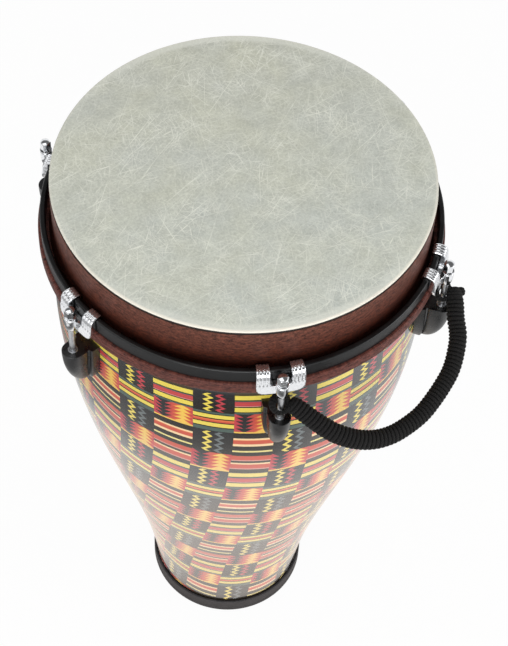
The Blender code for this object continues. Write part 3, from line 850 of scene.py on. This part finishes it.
def add_piece(name, mesh, materials, body, nodes, matrix=None, sharp=50):
    """Puts a piece on its body in place of the CAD nodes that it stands for."""
    mesh.shade_smooth()
    mesh.set_sharp_from_angle(angle=radians(sharp))
    made = place_object(name, mesh, *materials)
    if matrix is not None:
        made.matrix_world = matrix
    evened = made.modifiers.new("even_normals", "WEIGHTED_NORMAL")
    evened.keep_sharp = True
    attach(made, body)
    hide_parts(*nodes)
    return made


def soften(outline, steps=4):
    """A closed outline of (across, up, rounding) corners as plain points, with each corner rounded."""
    points = []
    for i, (across, up, rounding) in enumerate(outline):
        here = Vector((across, up))
        before = Vector(outline[i - 1][:2]) - here
        after = Vector(outline[(i + 1) % len(outline)][:2]) - here
        if rounding == 0:
            points.append((across, up))
            continue
        start = here + before.normalized() * min(rounding, before.length / 2)
        end = here + after.normalized() * min(rounding, after.length / 2)
        for k in range(steps + 1):
            t = k / steps
            point = start.lerp(here, t).lerp(here.lerp(end, t), t)
            points.append((point.x, point.y))
    return points


def bridge(bm, first, second):
    """Faces between two rings of points; a ring of one point is the tip of a fan."""
    count = max(len(first), len(second))
    for i in range(count):
        corners = [
            first[i % len(first)],
            first[(i + 1) % len(first)],
            second[(i + 1) % len(second)],
            second[i % len(second)],
        ]
        faces = list(dict.fromkeys(corners))
        if len(faces) > 2:
            bm.faces.new(faces)


def circle(radius, height, steps, start=0.0):
    """Points evenly round Z from start steps past X, or one point where the radius is 0."""
    if radius == 0:
        return [(0, 0, height)]
    turns = [tau * (i + start) / steps for i in range(steps)]
    return [(radius * cos(a), radius * sin(a), height) for a in turns]


def lathe(outline, steps=RING_STEPS):
    """A ring or a disc turned round Z from a closed outline of (radius, height)."""
    bm = bmesh.new()
    rings = [[bm.verts.new(point) for point in circle(*corner, steps)] for corner in outline]
    for first, second in zip(rings, rings[1:] + rings[:1]):
        bridge(bm, first, second)
    return mesh_of(bm)


def loft(sections):
    """A closed body through sections of equally many points."""
    bm = bmesh.new()
    rings = [[bm.verts.new(point) for point in section] for section in sections]
    for first, second in zip(rings, rings[1:]):
        bridge(bm, first, second)
    bm.faces.new(rings[0])
    bm.faces.new(rings[-1])
    return mesh_of(bm)


def prism(outline, low, high, put):
    return loft([[put(a, b, c) for a, b in outline] for c in (low, high)])


def rod(radius, low, high, steps):
    """An upright rod on Z, with a flat side towards X."""
    return loft([circle(radius, z, steps, 0.5) for z in (low, high)])


def at_bolt(mesh):
    """Moves a mesh from Z to the axis of a bolt that lies towards X."""
    mesh.transform(Matrix.Translation((BOLT_CIRCLE, 0, 0)))
    return mesh


def shaped(mesh, *modifiers):
    """A mesh after modifiers, each given as its type and its settings."""
    holder = linked("holder", mesh)
    for kind, settings in modifiers:
        modifier = holder.modifiers.new(kind.lower(), kind)
        for name, value in settings.items():
            setattr(modifier, name, value)
    graph = bpy.context.evaluated_depsgraph_get()
    made = bpy.data.meshes.new_from_object(holder.evaluated_get(graph))
    bpy.data.objects.remove(holder)
    return made


def in_triangles(mesh):
    bm = bmesh.new()
    bm.from_mesh(mesh)
    bmesh.ops.triangulate(bm, faces=bm.faces)
    bm.to_mesh(mesh)
    bm.free()
    return mesh


def combine(mesh, tools, operation):
    """Joins or cuts meshes, with every face flat so that the result is the same each time."""
    for one in (mesh, *tools):
        in_triangles(one)
    holders = [linked("tool", tool) for tool in tools]
    steps = [("BOOLEAN", {"operation": operation, "solver": "EXACT", "object": h}) for h in holders]
    made = shaped(mesh, *steps)
    for holder in holders:
        bpy.data.objects.remove(holder)
    return made


def station_turn(number):
    return Matrix.Rotation(FIRST_STATION + tau * (number - 1) / STATIONS, 4, "Z")


def shell_radius(z):
    """Outer radius of the shell, as in the CAD part."""
    if z > BELLY_HEIGHT:
        share = (z - BELLY_HEIGHT) / (SHELL_TOP - BELLY_HEIGHT)
        return BELLY_RADIUS + (RIM_RADIUS - BELLY_RADIUS) * share**2
    t = z / BELLY_HEIGHT
    foot = (1 - 3 * t**2 + 2 * t**3) * FOOT_RADIUS
    lean = (t - 2 * t**2 + t**3) * FOOT_LEAN * BELLY_HEIGHT
    belly = (3 * t**2 - 2 * t**3) * BELLY_RADIUS
    return foot + lean + belly


def add_shell(finishes):
    """The printed shell, bare inside, with a rounded rim under the skin."""
    rim = SHELL_TOP - SHELL_WALL / 2
    levels = [SHELL_BOTTOM + (rim - SHELL_BOTTOM) * i / SHELL_LEVELS for i in range(SHELL_LEVELS + 1)]
    outer = [(shell_radius(z), z) for z in levels]
    arc = [radians(22.5 * i) for i in range(1, 8)]
    middle = RIM_RADIUS - SHELL_WALL / 2
    crown = [(middle + SHELL_WALL / 2 * cos(a), rim + SHELL_WALL / 2 * sin(a)) for a in arc]
    inner = [(shell_radius(z) - SHELL_WALL, z) for z in reversed(levels)]
    mesh = lathe(outer + crown + inner)
    made = add_piece(
        "printed_shell", mesh, (finishes["print"], finishes["wood"]), "drum", ["shell"]
    )
    for face in made.data.polygons:
        middle = Vector((face.center.x, face.center.y, 0))
        face.material_index = 0 if face.normal.dot(middle) > 0 and face.center.z < rim else 1


def add_foot_ring(finishes):
    """Rubber trim: a rounded channel round the foot, with a moulded line."""
    outside = shell_radius(FOOT_RING_HEIGHT) + FIT + FOOT_RING_WALL
    inside = shell_radius(SHELL_BOTTOM) - SHELL_WALL - FIT - FOOT_RING_WALL
    wall = shell_radius(SHELL_BOTTOM)
    outline = [
        (inside, 0, 0.0014),
        (outside, 0, 0.0016),
        (outside, FOOT_LINE, 0.0003),
        (outside - FOOT_LINE_DEPTH, FOOT_LINE + FOOT_LINE_HALF, 0.0003),
        (outside, FOOT_LINE + 2 * FOOT_LINE_HALF, 0.0003),
        (outside, FOOT_RING_HEIGHT, 0.0013),
        (shell_radius(FOOT_RING_HEIGHT) + FIT, FOOT_RING_HEIGHT, 0.0004),
        (wall + FIT, FOOT_RING_FLOOR, 0),
        (wall - SHELL_WALL - FIT, FOOT_RING_FLOOR, 0),
        (wall - SHELL_WALL - FIT, FOOT_RING_LIP, 0.0006),
        (inside, FOOT_RING_LIP, 0.0012),
    ]
    mesh = lathe(soften(outline))
    add_piece("rubber_foot", mesh, (finishes["rubber"],), "drum", ["foot_ring"])


def add_skin(finishes):
    """The drum skin: a rounded lip at its edge, and a skirt set back under it, painted dark as the shade
    in that groove.
    """
    under = HEIGHT - SKIN_THICKNESS
    skirt = SKIN_RADIUS - LIP_SETBACK
    lip = HEIGHT - LIP_HEIGHT
    outline = [
        (SKIN_RADIUS, HEIGHT, LIP_HEIGHT * 0.7),
        (SKIN_RADIUS, lip, LIP_HEIGHT * 0.3),
        (skirt, lip, 0),
        (skirt, SKIRT_END, 0),
        (skirt - SKIN_THICKNESS, SKIRT_END, 0),
        (skirt - SKIN_THICKNESS, under, 0),
        (0, under, 0),
        (0, HEIGHT, 0),
    ]
    mesh = lathe(soften(outline, 6))
    made = add_piece(
        "drum_skin", mesh, (finishes["skin"], finishes["skirt_shade"]), "drum", ["head_skin"]
    )
    for face in made.data.polygons:
        # The skirt below the lip takes the painted shade; the rest is the cream skin.
        face.material_index = 1 if face.center.z < lip - FIT / 2 else 0


def add_collar(finishes):
    """The brown band that holds the skin, with its ledge inside and its flange below."""
    ledge_top = SKIRT_END - FIT
    ledge_bottom = ledge_top - LEDGE_HEIGHT
    shoulder = BAND_FOOT - BAND_SHOULDER
    line = FLANGE_TOP - FLANGE_LINE
    outline = [
        (BAND_INNER, ledge_top, 0),
        (BAND_INNER, BAND_TOP, 0.0001),
        (BAND_OUTER, BAND_TOP, 0.00018),
        (BAND_OUTER, BAND_FOOT, 0.003),
        (COLLAR_OUTER, shoulder, 0.003),
        (COLLAR_OUTER, FLANGE_TOP, 0.001),
        (FLANGE_OUTER, FLANGE_TOP, 0.0016),
        (FLANGE_OUTER, line + FLANGE_LINE_HALF, 0.0004),
        (FLANGE_OUTER - FLANGE_LINE_DEPTH, line, 0.0004),
        (FLANGE_OUTER, line - FLANGE_LINE_HALF, 0.0004),
        (FLANGE_OUTER, FLANGE_BOTTOM, 0.0016),
        (COLLAR_INNER, FLANGE_BOTTOM, 0.0004),
        (COLLAR_INNER, shoulder, 0),
        (BAND_INNER, BAND_FOOT, 0),
        (BAND_INNER, ledge_bottom - LEDGE_SLOPE, 0),
        (LEDGE_RADIUS, ledge_bottom, 0),
        (LEDGE_RADIUS, ledge_top, 0),
    ]
    mesh = lathe(soften(outline))
    add_piece("skin_collar", mesh, (finishes["collar"],), "drum", ["head_collar"])


def add_hoop(finishes):
    outline = [
        (HOOP_INNER, HOOP_BOTTOM, 0.0006),
        (HOOP_OUTER, HOOP_BOTTOM, 0.0013),
        (HOOP_OUTER, HOOP_TOP, 0.0016),
        (HOOP_INNER, HOOP_TOP, 0.0016),
    ]
    mesh = lathe(soften(outline, 6))
    add_piece("painted_hoop", mesh, (finishes["hoop"],), "tension_ring", ["tension_hoop"])


def arm_inset(sideways):
    """How far the outside of an arm lies in: rounded at the arm's edges, with flutes down its middle."""
    across = abs(sideways)
    edge = min(across - CLAW_GAP_HALF, CLAW_HALF_WIDTH - across)
    if edge < 0:
        return 0.0
    rounding = max(0.0, ARM_EDGE - edge)
    inset = ARM_EDGE - sqrt(ARM_EDGE**2 - rounding**2)
    middle = (CLAW_GAP_HALF + CLAW_HALF_WIDTH) / 2
    for i in range(FLUTES):
        share = (across - middle - (i - (FLUTES - 1) / 2) * FLUTE_PITCH) / FLUTE_HALF
        if abs(share) < 1:
            inset += FLUTE_DEPTH * cos(share * pi / 2) ** 2
    return inset


def claw_side(inset):
    """The claw from the side, as (radius, height, rounding): web, arm, and hook over the hoop."""
    step = FLANGE_TOP + ARM_STEP
    under = HOOP_TOP + FIT
    return [
        (WEB_INNER, WEB_BOTTOM - FIT, 0),
        (WEB_OUTER + WEB_FLARE, WEB_BOTTOM - FIT, 0),
        (WEB_OUTER, FLUTE_FOOT, 0.0006),
        (WEB_OUTER - inset, FLUTE_FOOT + FLUTE_RAMP, 0.0006),
        (ARM_OUTER - inset, CLAW_TOP - inset, 0.0095),
        (TIP_INNER + inset, CLAW_TOP - inset, 0.0040),
        (TIP_INNER, under - TIP_LENGTH, 0.0006),
        (TIP_OUTER, under - TIP_LENGTH, 0.0006),
        (TIP_OUTER, under, 0.0004),
        (ARM_INNER, under, 0.0006),
        (ARM_INNER, step, 0.001),
        (WEB_INNER, FLANGE_TOP, 0.001),
    ]


def claw_front():
    """The claw from outside, as (sideways, height, rounding): two arms on a round-cornered web."""
    over = CLAW_TOP + CLAW_PLATE
    right = [
        (0, WEB_BOTTOM, 0),
        (CLAW_HALF_WIDTH, WEB_BOTTOM, WEB_CORNER),
        (CLAW_HALF_WIDTH, over, 0),
        (CLAW_GAP_HALF, over, 0),
        (CLAW_GAP_HALF, WEB_TOP, GAP_CORNER),
        (0, WEB_TOP, 0),
    ]
    left = [(-a, b, c) for a, b, c in reversed(right[1:-1])]
    return right + left


def bent_round(mesh):
    """Bends a flat claw round the hoop: sideways becomes an angle."""
    for vertex in mesh.vertices:
        radius, sideways, height = vertex.co
        angle = sideways / HOOP_OUTER
        vertex.co = (radius * cos(angle), radius * sin(angle), height)
    return mesh


def build_claw():
    """A die-cast claw: two fluted arms on a web, and a tapered boss for the bolt."""
    reach = CLAW_HALF_WIDTH + FIT
    slices = []
    for i in range(CLAW_SLICES + 1):
        sideways = reach * (2 * i / CLAW_SLICES - 1)
        slices.append([(a, sideways, b) for a, b in soften(claw_side(arm_inset(sideways)))])
    front = prism(soften(claw_front()), TIP_INNER - CLAW_PLATE, BOLT_CIRCLE, lambda a, b, c: (c, a, b))
    flat = combine(loft(slices), [front], "INTERSECT")
    flat = shaped(flat, ("REMESH", {"mode": "VOXEL", "voxel_size": CAST_VOXEL}))
    flat = bent_round(flat)
    cup = [
        (0, BOSS_BOTTOM, 0),
        (BOSS_FOOT_RADIUS, BOSS_BOTTOM, 0.0008),
        (BOSS_RADIUS, BOSS_BOTTOM + BOSS_TAPER, 0.003),
        (BOSS_RADIUS, BOSS_TOP, 0.0006),
        (0, BOSS_TOP, 0),
    ]
    boss = at_bolt(lathe(soften(cup), 48))
    bore = at_bolt(rod(BOLT_BORE, BOSS_BOTTOM - CLAW_PLATE, BOSS_TOP + CLAW_PLATE, 48))
    whole = combine(combine(flat, [boss], "UNION"), [bore], "DIFFERENCE")
    return shaped(
        whole,
        ("REMESH", {"mode": "VOXEL", "voxel_size": CAST_VOXEL}),
        ("SMOOTH", {"factor": 0.5, "iterations": 4}),
    )


def bolt_shank():
    """The bolt's shank, from inside its head down, with a real thread on its lower end."""
    steps = 36
    per_turn = 8
    bm = bmesh.new()
    rows = round((THREAD_TOP - BOLT_END) / THREAD_PITCH * per_turn)
    rings = []
    for i in range(rows + 1):
        z = BOLT_END + i * THREAD_PITCH / per_turn
        taper = min(1.0, (z - BOLT_END) / BOLT_POINT, (THREAD_TOP - z) / THREAD_RUNOUT)
        ring = []
        for k in range(steps):
            phase = (i / per_turn - k / steps) % 1.0
            depth = THREAD_DEPTH * abs(2 * phase - 1) * taper
            cut = BOLT_POINT_CUT * max(0.0, 1 - (z - BOLT_END) / BOLT_POINT)
            a = tau * k / steps
            radius = BOLT_RADIUS - depth - cut
            ring.append(bm.verts.new((radius * cos(a), radius * sin(a), z - BOLT_SEAT)))
        rings.append(ring)
    for first, second in zip(rings, rings[1:]):
        bridge(bm, first, second)
    neck = [bm.verts.new((v.co.x, v.co.y, BOLT_HEAD_HEIGHT / 2)) for v in rings[-1]]
    bridge(bm, rings[-1], neck)
    bm.faces.new(rings[0])
    bm.faces.new(neck)
    return mesh_of(bm)


def bolt_head():
    """A hex head, rounded off at its top and eased at its foot."""
    hexagon = rod(BOLT_HEAD_RADIUS, 0, BOLT_HEAD_HEIGHT, 6)
    wide = BOLT_HEAD_RADIUS * 1.01
    edge = BOLT_HEAD_HEIGHT - BOLT_CROWN
    crown = [radians(7.5 * i) for i in range(12)]
    outline = [
        (0, 0),
        (BOLT_HEAD_RADIUS * 0.96, 0),
        (wide, BOLT_HEAD_EDGE),
        *((wide * cos(a), edge + BOLT_CROWN * sin(a)) for a in crown),
        (0, BOLT_HEAD_HEIGHT),
    ]
    head = combine(hexagon, [lathe(outline, 72)], "INTERSECT")
    return shaped(head, ("BEVEL", {"width": BOLT_BEVEL, "segments": 2, "limit_method": "ANGLE"}))


def build_bolt():
    """A chamfered hex bolt on its own axis, with its seat at 0."""
    shank = bolt_shank()
    return combine(bolt_head(), [shank], "UNION")


def build_washer():
    outline = [
        (BOLT_BORE, WASHER_BOTTOM, 0.0002),
        (WASHER_RADIUS, WASHER_BOTTOM, 0.0004),
        (WASHER_RADIUS, WASHER_TOP, 0.0004),
        (BOLT_BORE, WASHER_TOP, 0.0002),
    ]
    return at_bolt(lathe(soften(outline, 3), 64))


def build_nut():
    flange = LUG_TOP + FIT
    outline = [
        (BOLT_BORE, NUT_BOTTOM, 0.0002),
        (NUT_RADIUS, NUT_BOTTOM, 0.0003),
        (NUT_RADIUS, flange, 0),
        (NUT_FLANGE_RADIUS, flange, 0.0002),
        (NUT_FLANGE_RADIUS, flange + NUT_FLANGE, 0.0005),
        (BOLT_BORE, flange + NUT_FLANGE, 0.0003),
    ]
    return at_bolt(lathe(soften(outline, 3), 64))


def superellipse(t, power):
    return max(0.0, 1 - t**power) ** (1 / power)


def lug_section(t, inset=0.0):
    """One level of the lug, t from 0 at its flat top to 1 at its rounded tail."""
    height = LUG_TOP - t * LUG_LENGTH
    seat = shell_radius(height) + FIT
    base = LUG_BASE_HALF_WIDTH * superellipse(t, 3) - inset
    body = min(LUG_BODY_HALF_WIDTH * superellipse(t, 2.3), base * 0.82) - inset
    foot = seat + LUG_BASE * superellipse(t, 4)
    depth = (LUG_REACH - seat - LUG_BASE) * superellipse(t, 2.1) - inset
    nose = min(body * 1.1, depth * 0.9)
    half = []
    for i in range(13):
        a = radians(7.5 * i)
        half.append((foot + depth - nose + nose * cos(a) ** 0.9, body * sin(a) ** 0.9))
    step = depth - nose
    side = base - body
    edge = (foot - seat) * 0.25
    half += [
        (foot + step * 0.35, body),
        (foot + step * 0.12, body - side * LUG_GROOVE),
        (foot, body),
        (foot, body + 0.45 * side),
        (foot - edge * 0.25, base - side * 0.12),
        (foot - edge, base),
        (sqrt(seat**2 - base**2), base),
    ]
    half += [(sqrt(seat**2 - (base * s) ** 2), base * s) for s in (0.66, 0.33)]
    other = [(x, -y) for x, y in reversed(half[1:])]
    return [(x, y, height) for x, y in half + [(seat, 0)] + other]


def build_lug():
    """A moulded lug: rounded front, wider foot on the shell, and the bore for its nut."""
    levels = [0.006, 0.016, *(0.985 * sin(radians(90 * i / 20)) for i in range(1, 21))]
    sections = [lug_section(0.0, 0.0006), lug_section(0.0025, 0.00025), *(lug_section(t) for t in levels)]
    top = LUG_TOP + LUG_BASE
    tools = [
        at_bolt(rod(NUT_RADIUS + FIT, NUT_BOTTOM - FIT, top, 48)),
        at_bolt(rod(BOLT_RADIUS + FIT, BOLT_END - BOLT_TIP_ROOM, top, 48)),
    ]
    return combine(loft(sections), tools, "DIFFERENCE")


def add_stations(finishes):
    """The same fittings at every station, numbered from the front."""
    claw = build_claw()
    bolt = build_bolt()
    washer = build_washer()
    lug = build_lug()
    nut = build_nut()
    chrome = (finishes["chrome"],)
    two_tone = (finishes["chrome"], finishes["satin"])
    plastic = (finishes["plastic"],)
    steel = (finishes["steel"],)
    for n in range(1, STATIONS + 1):
        turn = station_turn(n)
        seat = turn @ Matrix.Translation((BOLT_CIRCLE, 0, BOLT_SEAT))
        add_piece(f"cast_claw_{n}", claw, chrome, "tension_ring", [f"claw_{n}"], turn, 80)
        add_piece(
            f"steel_washer_{n}", washer, chrome, "tension_ring", [f"bolt_washer_{n}"], turn
        )
        add_piece(f"hex_bolt_{n}", bolt, two_tone, f"bolt_{n}", [f"tension_bolt_{n}"], seat, 25)
        add_piece(f"moulded_lug_{n}", lug, plastic, "drum", [f"lug_{n}"], turn, 40)
        add_piece(f"nut_sleeve_{n}", nut, steel, "drum", [f"lug_nut_{n}"], turn)
        for node in (f"lug_plate_{n}", f"lug_screw_upper_{n}", f"lug_screw_lower_{n}"):
            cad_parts[node].data.materials.clear()
            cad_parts[node].data.materials.append(finishes["steel"])
    for face in bolt.polygons:
        face.material_index = 1 if face.center.z < 0 else 0


def handle_frame():
    """Carries the handle's own (along, out, across) coordinates to the drum's."""
    middle = FIRST_STATION + HANDLE_BEARING
    outward = Vector((cos(middle), sin(middle), 0))
    along = Vector((-sin(middle), cos(middle), 0))
    out = outward * cos(HANDLE_DROOP) - Vector((0, 0, sin(HANDLE_DROOP)))
    carried = Matrix((along, out, along.cross(out))).transposed().to_4x4()
    carried.translation = outward * BOLT_CIRCLE * cos(pi / STATIONS) + Vector((0, 0, HANDLE_HEIGHT))
    return carried


def route_points():
    """The handle's middle line as closely spaced points: a smooth curve with straight ends."""
    knots = [Vector((u, w, 0)) for u, w in ROUTE]
    fine = [knots[0]]
    for i in range(1, len(knots) - 2):
        before, start, end, after = knots[i - 1 : i + 3]
        for step in range(8):
            t = step / 8
            pull = (end - before) * t + (2 * before - 5 * start + 4 * end - after) * t**2
            fine.append(start + (pull + (3 * (start - end) + after - before) * t**3) / 2)
    return fine + knots[-2:]


def along_line(points, distance):
    for first, second in zip(points, points[1:]):
        length = (second - first).length
        if distance <= length:
            return first.lerp(second, distance / length)
        distance -= length
    return points[-1]


def line_length(points):
    return sum((b - a).length for a, b in zip(points, points[1:]))


def wound_tube(points, radius_at, pitch, depth, closed=False, steps=36, per_turn=9):
    """A tube along points, ribbed by one cord that is wound round it turn after turn.

    radius_at gives the outer radius from the share of the way along. The UV map holds the number of
    turns so far and the way along the wound cord.
    """
    length = line_length(points)
    turns = max(1, round(length / pitch))
    rows = turns * per_turn
    bm = bmesh.new()
    chart = bm.loops.layers.uv.new("winding")
    rings = []
    for i in range(rows if closed else rows + 1):
        here = along_line(points, length * i / rows)
        ahead = along_line(points, min(length, length * (i + 0.5) / rows))
        behind = along_line(points, max(0.0, length * (i - 0.5) / rows))
        forward = (ahead - behind).normalized()
        across = Vector((0, 0, 1))
        outward = across.cross(forward).normalized()
        ring = []
        for k in range(steps):
            a = tau * k / steps
            phase = (i / per_turn + k / steps) % 1.0
            rib = sqrt(max(0.0, 1 - (2 * phase - 1) ** 2))
            radius = max(radius_at(i / rows) - depth * (1 - rib), 0.0002)
            ring.append(bm.verts.new(here + (outward * cos(a) + across * sin(a)) * radius))
        rings.append(ring)
    pairs = list(zip(rings, rings[1:] + rings[:1])) if closed else list(zip(rings, rings[1:]))
    for i, (first, second) in enumerate(pairs):
        for k in range(steps):
            corners = [(first, i, k), (first, i, k + 1), (second, i + 1, k + 1), (second, i + 1, k)]
            face = bm.faces.new([ring[at % steps] for ring, _, at in corners])
            for loop, (_, row, at) in zip(face.loops, corners):
                loop[chart].uv = (row / per_turn + at / steps, at / steps)
    if not closed:
        bm.faces.new(rings[0])
        bm.faces.new(rings[-1])
    return mesh_of(bm)


def join_meshes(meshes):
    bm = bmesh.new()
    for mesh in meshes:
        bm.from_mesh(mesh)
    return mesh_of(bm)


def rounded_end(share, length, reach):
    """Draws a tube's radius in over its last stretch at both ends."""
    near = min(share, 1 - share) * length / reach
    return sqrt(max(0.0, 1 - (1 - min(1.0, near)) ** 2))


def add_grip(finishes, carried):
    """The wound rope of the handle."""
    points = route_points()
    length = line_length(points)

    def radius_at(share):
        swell = 1 + ROPE_SWELL * exp(-(((share - ROPE_SWELL_AT) / ROPE_SWELL_REACH) ** 2))
        full = rounded_end(share, length, ROPE_END_REACH)
        return ROPE_RADIUS * swell * (ROPE_END + (1 - ROPE_END) * full)

    mesh = wound_tube(points, radius_at, RIB_PITCH, RIB_DEPTH)
    mesh.transform(carried)
    made = add_piece(
        "rope_grip", mesh, (finishes["rope"],), "carry_handle", ["handle_grip"], None, 80
    )
    path = [carried @ along_line(points, length * i / 80) for i in range(81)]


def eye_back(turn):
    """How far round to the back of the bolt a point of the eye lies: 0 in front, 1 behind."""
    return (1 - sin(tau * turn)) / 2


def fold_radius(share):
    """Outer radius of the rope's folded end, which closes in a blunt tip."""
    return FOLD_RADIUS * superellipse(share, 3.2)


def turn_radius(share):
    """Outer radius of the turn that lies over the fold, rounded at both its ends."""
    return FOLD_RADIUS * FOLD_TURN * superellipse(abs(2 * share - 1), 2.4)


def add_eye(name, node, side, end, towards, fold, finishes, carried):
    """The rope's eye round its bolt, and the folded end from which it leaves the wound part."""
    bolt = Vector((side * HANDLE_SPAN, 0, 0))
    turns = [i / 96 for i in range(97)]
    round_bolt = []
    for turn in turns:
        reach = EYE_RADIUS + EYE_BACK_REACH * eye_back(turn)
        round_bolt.append(bolt + Vector((cos(tau * turn), sin(tau * turn), 0)) * reach)
    ring = wound_tube(
        round_bolt,
        lambda share: EYE_CORD + EYE_BACK_CORD * eye_back(share),
        EYE_PITCH,
        EYE_RIB,
        closed=True,
        steps=24,
    )
    away = (end - towards).normalized()
    knot_end = end + away * KNOT_LENGTH
    stop = bolt + (knot_end - bolt).normalized() * (EYE_RADIUS - EYE_CORD * 0.4)
    neck_line = [knot_end.lerp(stop, i / 12) for i in range(13)]
    neck = wound_tube(neck_line, lambda share: NECK_RADIUS, EYE_PITCH, EYE_RIB, steps=28)
    fold_line = [(end - away * FOLD_TUCK).lerp(end + away * fold, i / 24) for i in range(25)]
    knot = wound_tube(fold_line, fold_radius, FOLD_PITCH, FOLD_RIB, steps=28)
    outward = (Vector((0, 1, 0)) - away * away.y).normalized()
    over_line = [end + outward * FOLD_LIFT + away * fold * (0.15 + 0.85 * i / 16) for i in range(17)]
    over = wound_tube(over_line, turn_radius, FOLD_PITCH, FOLD_RIB, steps=28)
    mesh = join_meshes([ring, neck, knot, over])
    mesh.transform(carried)
    add_piece(name, mesh, (finishes["rope"],), "carry_handle", [node], None, 80)


def add_handle(finishes):
    carried = handle_frame()
    ends = [Vector((u, w, 0)) for u, w in (ROUTE[0], ROUTE[1], ROUTE[-2], ROUTE[-1])]
    add_grip(finishes, carried)
    add_eye("rope_eye_front", "handle_loop_front", -1, ends[0], ends[1], FRONT_FOLD, finishes, carried)
    add_eye("rope_eye_right", "handle_loop_right", 1, ends[3], ends[2], RIGHT_FOLD, finishes, carried)


def build():
    finishes = {
        "print": print_material(),
        "wood": wood_material(),
        "skin": skin_material(),
        "skirt_shade": shaded_skirt_material(),
        "collar": collar_material(),
        "hoop": hoop_material(),
        "chrome": chrome_material("chrome", 0.05, 0.14),
        "satin": chrome_material("satin_chrome", 0.26, 0.40),
        "plastic": plastic_material(),
        "steel": steel_material(),
        "rubber": rubber_material(),
        "rope": rope_material(),
    }
    make_camera()
    add_handle(finishes)
    make_world()
    make_stage()
    add_shell(finishes)
    add_foot_ring(finishes)
    add_skin(finishes)
    add_collar(finishes)
    add_hoop(finishes)
    add_stations(finishes)


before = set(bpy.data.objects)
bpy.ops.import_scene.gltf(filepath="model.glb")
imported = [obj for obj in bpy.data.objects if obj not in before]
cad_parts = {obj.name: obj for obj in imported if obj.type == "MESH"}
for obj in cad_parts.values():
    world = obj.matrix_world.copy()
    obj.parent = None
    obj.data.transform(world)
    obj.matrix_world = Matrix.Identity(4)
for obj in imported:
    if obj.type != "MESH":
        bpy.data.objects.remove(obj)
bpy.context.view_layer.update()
bpy.context.scene.view_settings.view_transform = "Standard"
build()
